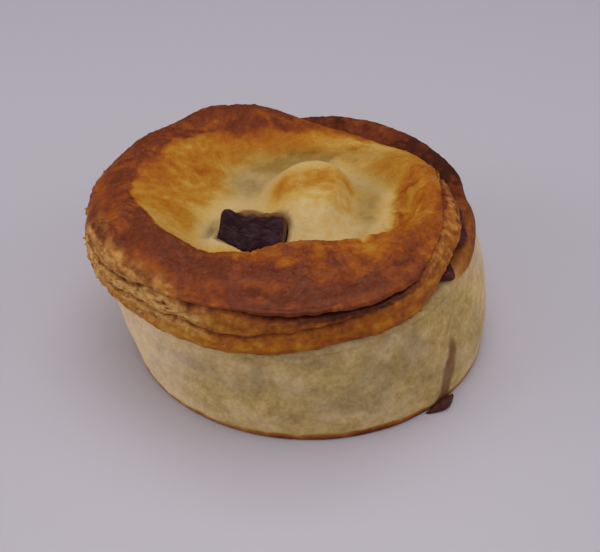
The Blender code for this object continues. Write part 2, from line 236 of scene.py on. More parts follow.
# Radius at which the baked brown of the rim begins, on its inner side, and the width over which it does.
brown_edge = knotted(
    (-171, 38.4), (-151, 36.4), (-135, 36.2), (-119, 34), (-108, 31), (-99, 27.5), (-84, 27), (-70, 27.5),
    (-60, 30.5), (-52, 33), (-28, 29), (-8, 28.4), (0, 28.8), (8, 30.5), (17, 37), (24, 41), (45, 43.5),
    (68, 40), (90, 33.5), (110, 31.5), (130, 33), (155, 35.6),
)
edge_width = knotted(
    (-170, 1.4), (-120, 1.4), (-60, 3), (-20, 5.5), (-4, 4.5), (12, 5), (60, 4), (110, 4.5), (150, 5.5),
)
# How far the edge of the brown wanders in and out.
edge_wander = hilly(1.5, (-1, -145, 50), (-0.9, 4, 40), (1.3, 140, 55))

# How far the rim has baked round the pie: nearly burnt on the left and in front, orange on the right.
browning = knotted(
    (-171, 0.72), (-150, 0.76), (-120, 0.7), (-85, 0.66), (-55, 0.64), (-35, 0.59), (-12, 0.5), (8, 0.49),
    (20, 0.44), (45, 0.36), (70, 0.54), (90, 0.76), (115, 0.81), (150, 0.8),
)
MOST_BAKED = 0.82  # beyond this the brown turns black

# Radius of the darkest belt, along the top of the front roll.
belt_radius = knotted((-165, 42.5), (-150, 41.7), (-135, 40.2), (-117, 40.4), (-101, 41.8), (-86, 43), (-74, 45))

# The lid's side, by share of the way down: where the deep crack lies under the top layer, and where the groove
# lies above the lowest band. The layer between them is pinched out on the right, where the band is a shelf.
crack_line = knotted(
    (-165, 0.4), (-150, 0.42), (-136, 0.34), (-126, 0.19), (-115, 0.11), (-100, 0.12), (-91, 0.18), (-79, 0.18),
    (-70, 0.24), (-60, 0.24), (-50, 0.28), (-43, 0.18), (-34, 0.08), (20, 0.08), (60, 0.3), (110, 0.25),
    (160, 0.3),
)
groove_line = knotted(
    (-165, 0.66), (-150, 0.64), (-130, 0.58), (-124, 0.64), (-117, 0.54), (-111, 0.62), (-104, 0.68), (-91, 0.57),
    (-79, 0.5), (-66, 0.42), (-58, 0.36), (-50, 0.36), (-43, 0.24), (-34, 0.13), (20, 0.13), (60, 0.5),
    (110, 0.55), (160, 0.64),
)
# Where the browned skin gives way to torn layers, how torn the lower layers are, and how far they have baked.
skin_edge = knotted(
    (-180, 0.22), (-165, 0.11), (-150, 0.07), (-135, 0.06), (-122, 0.09), (-112, 0.2), (-60, 0.6), (-6, 0.6),
    (-1, 0), (6, 0), (11, 0.6), (90, 0.6), (150, 0.45),
)
tornness = knotted(
    (-175, 1), (-124, 1), (-112, 0.55), (-104, 0.15), (-60, 0.05), (-45, 0.24), (-36, 0.4), (12, 0.4),
    (32, 0.15), (110, 0.1), (150, 0.85),
)
band_bake = knotted(
    (-170, 0.48), (-140, 0.48), (-118, 0.43), (-105, 0.47), (-75, 0.54), (-55, 0.52), (-35, 0.52), (-15, 0.58),
    (10, 0.68), (35, 0.4), (65, 0.36), (90, 0.5), (140, 0.5),
)
# Width of the deep crack's mouth, and how deep the crack and the groove are, as a share of their full depth.
crack_width = knotted(
    (-165, 0), (-148, 0), (-137, 0.4), (-128, 0.1), (-112, 0.1), (-90, 0.2), (-72, 0.3), (-60, 0.2), (-48, 0),
    (-34, 0), (90, 0.1),
)
crack_depth = knotted(
    (-165, 0.05), (-146, 0.2), (-137, 0.7), (-126, 0.3), (-112, 0.6), (-90, 0.75), (-66, 0.62), (-48, 0.4),
    (-34, 0.45), (20, 0.5), (60, 1), (150, 0.4),
)
groove_depth = knotted((-165, 0.7), (-120, 1), (-60, 0.9), (-45, 0.6), (-36, 0), (25, 0), (60, 1))

# The top layer's side: share of the way down to its lip, and how far out of the line from brow to foot.
LIP_PROFILE = ((0, -BROW_INSET), (0.25, -0.8), (0.5, 0), (0.85, 0), (1, -0.6))
# The lower layers' face: place down it, and how far in (-) or out (+) of that line.
LAYER_PROFILE = (
    (0, -3.2), (0.035, -1.4), (0.08, -0.25), (0.16, 0.05), (0.33, 0.05), (0.42, -0.3), (0.485, -1.3),
    (0.515, -1.3), (0.57, -0.4), (0.68, 0.25), (0.82, 0.5), (0.93, 0.1), (1, -1),
)
# Torn leaves on the left: place down the lower layers' face, and the angles they start and end at.
LEAVES = ((0.13, -186, -122), (0.24, -170, -112), (0.36, -182, -118), (0.62, -176, -124), (0.76, -168, -130))
# A torn leaf's section: share of its reach outwards (or mm inwards where negative), and height.
LEAF_SECTION = ((-2, -0.1), (0, -0.26), (0.75, -0.2), (1, 0), (0.75, 0.16), (0, 0.22), (-2, 0.1))
# Loose flakes on the lid's side: angle, share of the way down, length in mm, and lean in radians.
FLAKES = (
    (-169.5, 0.62, 4.6, 0.2), (166.5, 0.22, 4.6, 0.9), (-177, 0.36, 3.8, 0.5),
    (-161, 0.45, 3.6, 0.1), (-151, 0.34, 3.4, 0.3), (-143, 0.66, 3.2, -0.1), (-133, 0.44, 3.6, 0.2),
    (-124, 0.34, 3.2, 0.3), (176, 0.5, 3.8, 0.2), (-147, 0.5, 3.4, 0.1), (-116, 0.48, 3, 0.2),
)

# Ends of the short cracks in the rim's skin, of the crease beside the steak, and of the fold behind on the right.
SKIN_CRACKS = (
    ((3.6, -31.5), (7, -30.8)), ((18.8, -34.6), (23.2, -32.6)), ((-2, -36.8), (1.6, -36.2)),
    ((-46.2, -21.8), (-44.6, -24.4)), ((22, -30), (25.5, -27.6)), ((24.6, 5.6), (31, 4.6)),
)
POCKET = ((-24.4, -8), (-26.2, -17))
FOLD = ((20.5, 34), (8.5, 27.5))

# Soft patches (strength, centre, size) on the lid, in plan: the dip in its floor and the two notches in the rim,
# where its slopes and floor are golden, where the mound and the bumps are toasted, and where the dough is damp
# and darkened by painted shade in the valleys.
FLOOR_DIP = ((-1.2, (-14, 12), (12, 9)),)
NOTCHES = ((-1.3, (-14.8, -29), (2.6, 4.5)), (-1, (15.6, -28), (2.6, 3.4)))
GOLDEN = (
    (0.12, (-10, 24), (9, 5)), (0.03, (3, 30), (11, 4.5)), (-0.35, (-22, -19), (5.5, 5.5)),
    (0.12, (-7, 0), (4.5, 6)),
)
TOASTED = (
    (0.3, (3.4, 4.6), (10.5, 7.5)), (0.06, (1, 8.5), (8, 4)), (0.07, (6, -4), (8, 4)),
    (0.18, (-7.6, 3.2), (2.8, 3.6)), (0.1, (11, 4.6), (2, 4)), (0.1, (22.5, 20), (4, 3.5)),
    (0.2, (14, 33), (4.5, 3)),
)
FRONT_OF_MOUND = ((0.07, (3, -7), (15, 9)),)
PALE_RIM_SPOT = ((0.34, (14.2, -29.2), (3.2, 2.6)),)
DAMP_AND_SHADED_VALLEY = (
    (1, (-9, 23), (9, 5.5)), (0.9, (-17, 13), (6, 7)), (1, (2, 28), (9, 4.5)), (0.5, (17, -2), (4.4, 14)),
)
# Soft patches by angle round the pie and height: pale breaks in the lower layers, damp blotches on the wall, and
# the faint halo of the gravy's stain.
PALE_BREAKS = (
    (1, (-107, 34.4), (3.4, 2.6)), (0.7, (-93.6, 34.6), (1.6, 1.2)), (0.9, (10, 41), (5, 1.6)),
)
DAMP_WALL = (
    (0.55, (-121, 17.5), (7, 2.6)), (0.5, (-99, 19.5), (1.6, 4.5)), (0.55, (-63, 20), (14, 7)),
    (0.3, (-88, 25), (10, 3)), (0.4, (-73, 12), (10, 3)),
)
STAIN_HALO = ((0.13, (-46, 16), (14, 16)),)
# The run of gravy down the wall: its angle and its half width in degrees, each after the heights it is given at.
RUN_ANGLE = ((0, 4, 9, 14, 19), (-46.8, -45.6, -44.5, -42.4, -42.2))
RUN_WIDTH = ((0, 4, 10, 15, 20), (4, 2.4, 2.9, 2, 0.8))

# Rim of the case: how far in from its outer edge, and how far below the joint, its rolled outer corner lies.
RIM_CORNER = ((-0.35, 2.1), (-0.4, 1.6), (-0.15, 1), (0.2, 0.5), (0.6, 0.18), (1, 0))

# The tongue of gravy over the rim, out along its underside and back over its top: share of its reach, share of
# the way from underside to top, and a small shift outwards.
TONGUE_SECTION = (
    (0, 0, 0), (0.35, 0.02, 0.1), (0.62, 0.03, 0.1), (0.82, 0.04, 0.1), (0.94, 0.1, 0.1), (0.985, 0.25, 0.1),
    (1, 0.5, 0.12), (0.985, 0.75, 0.12), (0.93, 0.93, 0.12), (0.8, 1, 0.12), (0.5, 1, -0.2),
)
# The steak's one raised corner, in its own plan.
RAISED_CORNER = ((2.6, (-7.4, 4.6), (2.6, 2.6)),)


# ---------------------------------------------------------------- forms of the case


def joint_plane(x, y):
    """Height of the plane between case and lid."""
    uphill = direction(JOINT_UPHILL)
    return JOINT_HEIGHT + JOINT_SLOPE * (x * uphill[0] + y * uphill[1])


def case_centre(z):
    """The wall's axis in plan, which leans as it rises."""
    return CASE_LEAN * smooth(np.asarray(z) / CASE_HEIGHT)[..., None]


def case_radius(angle, z):
    """Outside radius of the wall: it bellies out half-way up, and tucks in under the rim."""
    belly = around(angle, 0.6, (0.9, 0, 75), (1.8, 188, 65))
    tuck = around(angle, 1.2, (0.6, -11, 26), (1.6, 9, 13), (-2.3, 30, 38), (-4.3, 82, 56), (-1.6, 185, 70))
    up = np.clip(z / CASE_HEIGHT, 0, 1)
    return FOOT_RADIUS + belly * np.sin(np.pi * up) - tuck * climb(up, 0.5, 0.5)


# Width of the rim that the lid lies on: wider behind, where the lid has slid away from the edge.
rim_width = hilly(RIM_WIDTH, (4.5, 60, 62))


def inward_of_edge(x, y):
    """How far a point on the rim lies in from the rim's outer edge."""
    z = joint_plane(x, y) - SHOULDER_DROP
    r, angle = polar(x, y, xy(case_centre(z)))
    return case_radius(angle, z) - r


def rim_rise(x, y):
    """How far the rim swells above the joint plane: a rolled lip where the lid leaves it bare."""
    _, angle = polar(x, y, CASE_LEAN)
    crown = around(angle, 0, (3.6, 62, 64), (1.7, -14, 42))
    inward = inward_of_edge(x, y)
    return crown * smooth((RIM_WIDTH - inward) / around(angle, 4.2, (2.3, 62, 64))) * climb(inward, -0.6, 2.4)


def joint(x, y):
    """Height of the surface that parts case and lid."""
    return joint_plane(x, y) + rim_rise(x, y)


def ooze(angle, ease=1.6):
    """1 where gravy has come out between lid and rim, 0 where the joint is shut."""
    return smooth(ease * hill(angle, OOZE_ANGLE, OOZE_SPREAD))


# ---------------------------------------------------------------- forms of the lid


# Where the lid's raised rim is highest, and how high: broad in front, at the very edge behind, low on the right.
crest_radius = hilly(38, (-7.4, -80, 50), (2, 180, 30), (6.5, 118, 60), (3, -18, 40), (2, 40, 40))
crest_height = hilly(
    43.6, (0.5, -80, 60), (-0.6, -118, 30), (-7.4, 58, 48), (-1, 18, 30), (1.7, 110, 26), (0.9, 138, 30)
)
# Where the lid's inner slope starts: steep in front, a long slope on the left.
floor_radius = hilly(24, (-13, 165, 80), (9, -12, 55))
# The lid's outermost edge, at the top layer.
brow_radius = hilly(49.2, (1.2, 185, 60), (1.6, -85, 60), (-5.6, 2, 60), (-2.6, 58, 45), (1.6, 130, 45))
# How far the lower layers stand out beyond the top one: on the far left, and all down the right side.
shelf = hilly(0, (1.9, 197, 48), (1.6, -22, 50))
# How far the top layer's lip is drawn in on the right, which bares the shelf below it.
lip_drawn_in = hilly(0, (1.3, -14, 42))
# The lid's lower edge: out over the case in front, tucked under on the left.
lid_foot_radius = hilly(48.2, (3.6, -88, 55), (3.8, -52, 28), (1.6, 192, 55), (-6.4, 32, 56))


def mound(x, y):
    """Height of the swelling over a lump of filling: steep behind, gentle towards the front."""
    dx, dy = x - 1.2, y - 8
    away = np.hypot(np.where(dx > 0, dx / 13.6, dx / 15.5), np.where(dy > 0, dy / 15, dy / 27))
    return 6.2 * smooth(1.8 * (1 - away))


def folds(x, y):
    """Height of the ridges where the lid is gathered on the right: arcs that swing out as they go back."""
    r, angle = polar(x, y, LID_CENTRE)
    along = r - 34 - 0.012 * np.maximum(angle + 14, 0) ** 2
    ridges = 0.55 * np.cos(2 * np.pi * along / 4.6)
    return ridges * hill(angle, 6, 24) * climb(along, -2, 3) * smooth((9 - along) / 3)


# Where the brown roll laps over the golden slope on the left.
crease_radius = hilly(35.9, (4.6, -185, 40), (-1.2, -105, 20))


def lid_under(x, y):
    """Height of the lid's lower surface: on the joint, domed over the filling, lifted at the ooze."""
    r, angle = polar(x, y, CASE_LEAN)
    dome = FILLING_DOME * (1 - np.clip(r / DOME_RADIUS, 0, 1) ** 2) ** 2
    lift = OOZE_LIFT * ooze(angle) * climb(r, 30, 10)
    return joint(x, y) + dome + lift + GAP / 2


def lid_top(x, y):
    """Height of the lid's upper surface: a sunken floor, the mound, the inner slope and the broad rim."""
    r, angle = polar(x, y, LID_CENTRE)
    crest_r, floor_r = crest_radius(angle), floor_radius(angle)
    share = np.clip((r - floor_r) / (crest_r - floor_r), 0, 1)
    crisp = 0.75 * hill(angle, -140, 62)
    rise = smooth(share) * (1 - crisp) + crisp * share**1.5
    lap = 1.4 * smooth((r - crease_radius(angle)) / 0.8) * smooth((crease_radius(angle) + 8 - r) / 6)
    lap = lap * smooth(3 * hill(angle, -146, 34))
    outer = np.clip((r - crest_r) / (brow_radius(angle) - crest_r), 0, 1)
    drop = around(angle, 3.4, (1.6, -90, 70), (-2.6, 60, 50))
    ripple = 0.35 * np.sin(np.radians(angle * 7 + 40)) + 0.25 * np.sin(np.radians(angle * 13 - 20))
    ripple = ripple * smooth((r - crest_r + 8) / 8)
    base = FLOOR_HEIGHT + spots(x, y, FLOOR_DIP) + mound(x, y)
    top = base + (crest_height(angle) - base) * rise - drop * outer**2.2 + ripple
    top = top + folds(x, y) + lap + spots(x, y, NOTCHES)
    thin = lid_under(x, y) + THINNEST_LID
    return 0.5 * (top + thin + np.sqrt((top - thin) ** 2 + 0.3))


# ---------------------------------------------------------------- relief of the lid's skin


def rolled_out(x, y):
    """A place on the lid, rolled out flat round its rim: distance along, and out; the seam is behind."""
    r, angle = polar(x, y, LID_CENTRE)
    return points_at(np.radians((angle - 90) % 360) * ROLLED_RIM, r)


def flaked(x, y):
    """1 in the ragged, sharp-edged patches where the rim's outermost skin has come off, 0 elsewhere."""
    return climb(noise(points_at(x, y), 7.5, seed=9, octaves=4), 0.14, 0.09)


def arcs(x, y):
    """Fine parallel wrinkles in arcs on the far left of the rim, from -1 to 1."""
    return np.sin(2 * np.pi * np.hypot(x + 49, y + 21) / 1.9) * spots(x, y, [(1, (-46, -14), (4.5, 6))])


def gathers(x, y):
    """Uneven ridges where the rim is bunched up on the right, from -1 to 1."""
    r, angle = polar(x, y, LID_CENTRE)
    bent = r + 0.1 * np.abs(angle - 4) + 3 * noise(points_at(x, y), 7, seed=13, octaves=2)
    return np.sin(2 * np.pi * bent / 4.2) * hill(angle, 0, 36) * climb(r, 29, 3)


def skin_cracks(x, y):
    """1 along the short cracks in the rim's skin, 0 elsewhere."""
    lines = [from_line(x, y, *ends) for ends in SKIN_CRACKS]
    return np.max([bell(away / 0.45) * np.sin(np.pi * along) ** 0.5 for away, along in lines], axis=0)


def lid_relief(x, y):
    """Small relief of the top skin.

    The rim has lumps, blisters, wrinkles along it, arcs of fine wrinkles on the left, patches where skin has come
    off, and flaps with ragged edges behind; the slopes and the floor have soft blisters, a crease beside the
    steak, and a fold behind on the right.
    """
    r, angle = polar(x, y, LID_CENTRE)
    flat, along = points_at(x, y), rolled_out(x, y)
    edge = brown_edge(angle)
    on_rim = smooth((r - edge + 1) / 4)
    blisters = climb(noise(flat, 3.4, seed=8, octaves=2), 0.1, 0.5)
    flap_edge = edge + 0.8 + 1.5 * noise(along, 5, seed=9, octaves=3)
    flaps = smooth((r - flap_edge) / 0.5) * smooth((flap_edge + 5 - r) / 4) * hill(angle, 122, 36)
    rim = (
        around(angle, 0.62, (0.35, -35, 50)) * noise(along, (10, 6.5, 1), seed=3, octaves=2)
        - 0.2 * smooth((0.14 - np.abs(noise(along, (11, 4, 1), seed=5))) / 0.14)
        + around(angle, 0.3, (0.3, -20, 60)) * blisters
        + around(angle, 0.28, (0.14, -20, 60)) * noise(flat, 1.9, seed=7, octaves=2)
        + 0.55 * flaps - 0.34 * flaked(x, y) + 0.36 * arcs(x, y) + 0.15 * gathers(x, y) - 0.7 * skin_cracks(x, y)
        + 0.5 * noise(along, (2.6, 8, 1), seed=10) * hill(angle, -14, 32)
    )
    soft = 0.16 * noise(flat, 5, seed=11, octaves=2) + 0.1 * climb(noise(flat, 3, seed=12, octaves=2), 0.1, 0.4)
    fold = 0.8 * bell(from_line(x, y, *FOLD)[0] / 1.5) * climb(r, 20, 8)
    return on_rim * rim + (1 - on_rim) * soft - bell(from_line(x, y, *POCKET)[0] / 0.9) + fold


# ---------------------------------------------------------------- meshes


def link(name, data):
    """A new object in the scene."""
    made = bpy.data.objects.new(name, data)
    bpy.context.scene.collection.objects.link(made)
    return made


def make_piece(name, points, faces, material, slot, nodes=(), attributes=None):
    """A smooth-shaded piece that rides on the pie, from points in millimetres, faces and point attributes."""
    mesh = bpy.data.meshes.new(name)
    mesh.from_pydata((np.asarray(points) * MM).reshape(-1, 3).tolist(), [], faces)
    mesh.materials.append(material)
    mesh.shade_smooth()
    for key, values in (attributes or {}).items():
        layer = mesh.attributes.new(key, "FLOAT", "POINT")
        layer.data.foreach_set("value", np.ascontiguousarray(values, dtype=np.float32).ravel())
    piece = link(name, mesh)
    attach(piece, "root")
    if nodes:
        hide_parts(*nodes)


def grid_faces(rows, turn, wrap):
    """Quads of a grid of rows of `turn` points, closed along each row and, with wrap, from last row to first."""
    row, step = np.meshgrid(np.arange(rows if wrap else rows - 1), np.arange(turn), indexing="ij")
    up, on = (row + 1) % rows, (step + 1) % turn
    quads = np.stack([row * turn + step, row * turn + on, up * turn + on, up * turn + step], -1)
    return quads.reshape(-1, 4)


def closed_ring(grid):
    """Faces of a ring whose section closes on itself, facing out."""
    return grid_faces(*grid.shape[:2], wrap=True)[:, ::-1].tolist()


def closed_grid(grid):
    """Points and faces of rows of points with a fan to a pole at each end; the poles are the rows' middles."""
    rows, turn = grid.shape[:2]
    points = np.concatenate([grid.reshape(-1, 3), [grid[0].mean(0)], [grid[-1].mean(0)]])
    low, high, start = rows * turn, rows * turn + 1, (rows - 1) * turn
    step = np.arange(turn)
    on = (step + 1) % turn
    fans = np.stack([np.full(turn, low), on, step], -1).tolist()
    fans += np.stack([np.full(turn, high), start + step, start + on], -1).tolist()
    return points, grid_faces(rows, turn, wrap=False).tolist() + fans


def with_poles(values):
    """A grid's values, with one more for each pole."""
    return np.concatenate([values.ravel(), [values[0].mean()], [values[-1].mean()]])


def make_torn_bits(name, grids, bakes, torn, material):
    """One piece of many closed bits of puff pastry, from each bit's grid of points and how far it has baked."""
    points, faces = [], []
    for grid in grids:
        bit_points, bit_faces = closed_grid(grid)
        base = sum(len(part) for part in points)
        faces += [[corner + base for corner in face] for face in bit_faces]
        points.append(bit_points)
    bake = np.concatenate([with_poles(values) for values in bakes])
    attributes = {"bake": bake, "torn": np.full(len(bake), torn)}
    make_piece(name, np.concatenate(points), faces, material, "puff_pastry", (), attributes)


def between(stops, counts):
    """A row of numbers that passes through the stops, with so many equal steps between each pair."""
    parts = [np.linspace(a, b, n, endpoint=False) for a, b, n in zip(stops, stops[1:], counts)]
    return np.concatenate([*parts, stops[-1:]])


# ---------------------------------------------------------------- shaders


class Value:
    """A node's output socket that can be used in sums: +, - and * add their Math nodes."""

    def __init__(self, shader, socket):
        self.shader, self.socket = shader, socket

    def __add__(self, other):
        return self.shader.math("ADD", self, other)

    def __sub__(self, other):
        return self.shader.math("SUBTRACT", self, other)

    def __rsub__(self, other):
        return self.shader.math("SUBTRACT", other, self)

    def __mul__(self, other):
        return self.shader.math("MULTIPLY", self, other)

    __radd__ = __add__
    __rmul__ = __mul__

    def step(self, low, high):
        """0 below low, 1 above high, and a smooth step between them."""
        return self.shader.add("MapRange", {"interpolation_type": "SMOOTHSTEP"}, self, low, high, 0, 1)


class Shader:
    """A material built on one Principled BSDF; lengths in its patterns are in millimetres."""

    def __init__(self, name, roughness, **constants):
        self.material = bpy.data.materials.new(name)
        self.material.use_nodes = True
        self.tree = self.material.node_tree
        self.surface = self.tree.nodes["Principled BSDF"].inputs
        for key, value in {"Roughness": roughness, **constants}.items():
            self.surface[key.replace("_", " ")].default_value = value
        place = self.add("TexCoord", {}, output="Object")
        self.place = self.add("VectorMath", {"operation": "SCALE"}, place, Scale=1 / MM)

    def add(self, kind, settings, *inputs, output=0, **named):
        """Add a node: its settings first, then its sockets in order or by name, as values or links."""
        node = self.tree.nodes.new("ShaderNode" + kind)
        for key, value in settings.items():
            if key == "stops":
                self.set_stops(node.color_ramp.elements, value)
            else:
                setattr(node, key, value)
        for key, value in [*enumerate(inputs), *named.items()]:
            self.connect(value, node.inputs[key])
        return Value(self, node.outputs[output])

    @staticmethod
    def set_stops(elements, stops):
        """Give a colour ramp, new with its two stops, these (position, colour) stops instead."""
        for _ in stops[2:]:
            elements.new(0.5)
        for element, (position, colour) in zip(elements, stops):
            element.position, element.color = position, (*colour, 1.0)

    def connect(self, value, socket):
        """Link a node's output to a socket, or set the socket to a plain value or a colour."""
        if isinstance(value, Value):
            self.tree.links.new(value.socket, socket)
        elif socket.type == "RGBA":
            socket.default_value = (*value, 1.0)
        else:
            socket.default_value = value

    def math(self, operation, first, second):
        """One sum of two values."""
        return self.add("Math", {"operation": operation}, first, second)

    def attributes(self, *names):
        """The values that the mesh's points carry under these names, 0 where a mesh has none."""
        return [self.add("Attribute", {"attribute_name": name}, output="Fac") for name in names]

    def grain(self, size, detail=2, roughness=0.55, stretch=(1, 1, 1), seed=0):
        """Noise of 0 to 1 with features of the given size in millimetres, longer along a stretched axis."""
        scale = tuple(1 / (size * s) for s in stretch)
        place = self.add("VectorMath", {"operation": "MULTIPLY"}, self.place, scale)
        place = self.add("VectorMath", {"operation": "ADD"}, place, (seed, 0.7 * seed, 1.3 * seed))
        settings = {"noise_dimensions": "3D"}
        return self.add("TexNoise", settings, Vector=place, Scale=1, Detail=detail, Roughness=roughness)

    def cells(self, size, seed):
        """Distance to the nearest of points scattered about a size apart."""
        place = self.add("VectorMath", {"operation": "ADD"}, self.place, (seed, seed, seed))
        return self.add("TexVoronoi", {"feature": "F1"}, Vector=place, Scale=1 / size, output="Distance")

    def ramp(self, value, stops):
        """A colour that runs through the (position, colour) stops."""
        return self.add("ValToRGB", {"stops": stops}, value, output="Color")

    def mix(self, share, first, second, blend="MIX"):
        """Mix two colours."""
        node = self.tree.nodes.new("ShaderNodeMix")
        node.data_type, node.blend_type = "RGBA", blend
        for k, value in ((0, share), (6, first), (7, second)):
            self.connect(value, node.inputs[k])
        return Value(self, node.outputs[2])

    def finish(self, colour, height=None, depth=0.1, **sockets):
        """Feed the surface's sockets, with bumps of the given depth in millimetres where a height is given."""
        for key, value in {"Base_Color": colour, **sockets}.items():
            self.connect(value, self.surface[key.replace("_", " ")])
        if height is not None:
            bump = self.add("Bump", {}, Strength=1, Distance=depth * MM, Height=height)
            self.connect(bump, self.surface["Normal"])
        return self.material


# Baked pastry, from raw-looking cream to nearly burnt, by how far it has browned.
BAKED = (
    (0.0, (0.585, 0.418, 0.19)), (0.13, (0.545, 0.34, 0.085)), (0.3, (0.44, 0.192, 0.016)),
    (0.45, (0.375, 0.112, 0.006)), (0.6, (0.275, 0.062, 0.006)), (0.75, (0.18, 0.036, 0.009)),
    (0.9, (0.105, 0.02, 0.006)), (1.0, (0.05, 0.011, 0.004)),
)
# Shortcrust browns without the puff pastry's orange, and ends in the same two browns.
BAKED_SHORTCRUST = (
    BAKED[0], (0.15, (0.52, 0.33, 0.12)), (0.32, (0.4, 0.2, 0.05)), (0.48, (0.32, 0.118, 0.024)),
    (0.62, (0.24, 0.068, 0.014)), (0.76, (0.17, 0.038, 0.011)), *BAKED[-2:],
)
# Torn leaves of puff pastry, and raw shortcrust dough where it is pale and where the filling has made it rich;
# the rich dough is darker in part as painted shade of the front and right, away from the light.
LEAF = (
    (0.2, (0.76, 0.51, 0.21)), (0.42, (0.58, 0.31, 0.09)), (0.62, (0.38, 0.155, 0.034)),
    (0.9, (0.11, 0.03, 0.008)),
)
PALE_DOUGH = ((0.32, (0.62, 0.44, 0.245)), (0.5, (0.73, 0.535, 0.315)), (0.68, (0.81, 0.625, 0.4)))
RICH_DOUGH = (
    (0.32, (0.37, 0.24, 0.085)), (0.46, (0.49, 0.325, 0.11)), (0.58, (0.58, 0.405, 0.15)),
    (0.72, (0.68, 0.52, 0.24)),
)
GRAVY = ((0.3, (0.04, 0.009, 0.01)), (0.7, (0.095, 0.026, 0.02)))
# Meat from dark red to a bluish plum. The plum is partly its own colour and partly a painted sheen.
MEAT_AND_SHEEN = ((0.3, (0.01, 0.002, 0.002)), (0.52, (0.027, 0.007, 0.009)), (0.72, (0.054, 0.025, 0.04)))
DRY_MEAT = ((0.35, (0.17, 0.062, 0.018)), (0.7, (0.34, 0.145, 0.045)))


def puff_material():
    """Glazed puff pastry, coloured by its bake, with tan torn layers, damp dough and gravy soaked in.
    The damp mix also lays painted shade in the lid's valleys and in the pocket beside the steak, and the bake
    holds painted shade and highlight in cracks, creases, pits, wrinkles and bumps.

    It is a little glossy where it has browned, and not where it is torn or matt.
    """
    s = Shader("puff_pastry", 0.5, Specular_IOR_Level=0.1, Coat_Roughness=0.3)
    bake, torn, damp, soak, matt = s.attributes("bake", "torn", "damp", "soak", "matt")
    mottle = s.grain(2, detail=3, roughness=0.6, seed=11)
    fine = s.grain(0.7, seed=23)
    depth = bake.step(0, 0.5) * 0.7 + 0.3
    skin = s.ramp(bake + ((mottle - 0.5) * 0.26 + (fine - 0.5) * 0.2) * depth, BAKED)
    layers = s.grain(0.9, detail=3, roughness=0.6, stretch=(3.2, 3.2, 0.5), seed=17)
    leaf = s.ramp(mottle * 0.4 + fine * 0.2 + layers * 0.3 + bake * 1.1 - 0.43, LEAF)
    colour = s.mix(torn, skin, leaf)
    # Greyer where the dough is damp, and darker there as painted shade in the valleys and the pocket beside the
    # steak.
    colour = s.mix(damp, colour, (0.53, 0.5, 0.41), blend="MULTIPLY")
    colour = s.mix(soak, colour, (0.17, 0.06, 0.016))
    gloss = bake.step(0.3, 0.75) * (1 - torn) * (1 - matt)
    shine = 0.66 - gloss * 0.22 + (mottle - 0.5) * 0.25
    height = mottle * 0.5 + fine * 0.4 + s.grain(1.2, detail=3, seed=31) * 0.4
    return s.finish(colour, height, depth=0.42, Roughness=shine, Coat_Weight=gloss * 0.05)


def shortcrust_material():
    """Shortcrust: pale dough, rich and yellow in front and darker there as partly painted shade, with damp
    blotches, browned parts and a gravy stain.
    """
    s = Shader("shortcrust", 0.72, Specular_IOR_Level=0.06)
    bake, damp, rich, stain = s.attributes("bake", "damp", "rich", "stain")
    mottle = s.grain(3, detail=4, roughness=0.6, seed=7)
    flecks = s.grain(1.1, roughness=0.6, seed=13)
    fine = s.grain(0.45, seed=19)
    # Rich dough is yellower and darker. Its darkness is partly painted shade of the front and right, away from
    # the light.
    dough = s.mix(rich, *(s.ramp(mottle * 0.6 + flecks * 0.4, stops) for stops in (PALE_DOUGH, RICH_DOUGH)))
    dough = s.mix(damp * 0.75, dough, (0.63, 0.66, 0.84), blend="MULTIPLY")
    dough = s.mix(fine.step(0.62, 0.72) * 0.4, dough, (0.72, 0.56, 0.32))
    speck = (1 - s.cells(2.6, seed=5).step(0.08, 0.16)) * s.grain(5, seed=41).step(0.56, 0.66)
    dough = s.mix(speck * 0.6, dough, (0.16, 0.1, 0.045))
    crust = s.ramp(bake + (mottle - 0.5) * 0.3 + (flecks - 0.5) * 0.22, BAKED_SHORTCRUST)
    colour = s.mix(bake.step(0.08, 0.42), dough, crust)
    colour = s.mix(stain * 0.9, colour, (0.17, 0.066, 0.026))
    shine = 0.8 - bake * 0.22 - stain * 0.2
    return s.finish(colour, mottle * 0.5 + flecks * 0.3 + fine * 0.3, depth=0.14, Roughness=shine)


def gravy_material(name, roughness):
    """Set dark gravy: a deep red brown, a little glossy, with faint grain."""
    s = Shader(name, roughness, Specular_IOR_Level=0.07, Coat_Roughness=0.2)
    mottle = s.grain(1.6, detail=3, seed=4)
    shine = roughness + (mottle - 0.5) * 0.3
    return s.finish(s.ramp(mottle, GRAVY), mottle, depth=0.2, Roughness=shine, Coat_Weight=mottle * 0.06)


def steak_material():
    """Braised beef: dark fibres with a plum sheen, partly painted into its colour, browner along its dry upper
    edge.
    """
    s = Shader("braised_steak", 0.5, Specular_IOR_Level=0.1)
    (dry,) = s.attributes("dry")
    fibre = s.grain(0.9, detail=3, stretch=(3.5, 1, 1), seed=6)
    mottle = s.grain(2.2, seed=9)
    colour = s.mix(dry, s.ramp(fibre * 0.55 + mottle * 0.45, MEAT_AND_SHEEN), s.ramp(mottle, DRY_MEAT))
    return s.finish(colour, fibre, depth=0.3, Roughness=0.42 + (mottle - 0.5) * 0.4 + dry * 0.2)


def table_material():
    """A pale, slightly glossy table top."""
    return Shader("pale_table", 0.42, Specular_IOR_Level=0.35).finish((0.5, 0.47, 0.51))


# ---------------------------------------------------------------- steak and vent


def steak_outline(x, y):
    """Turn and place the steak's plan: its front left corner is torn off."""
    x = x + 3.4 * smooth((-y - 1.5) / 6) * smooth((2 - x) / 8)
    return VENT_CENTRE + turned(x, y, STEAK_TURN)


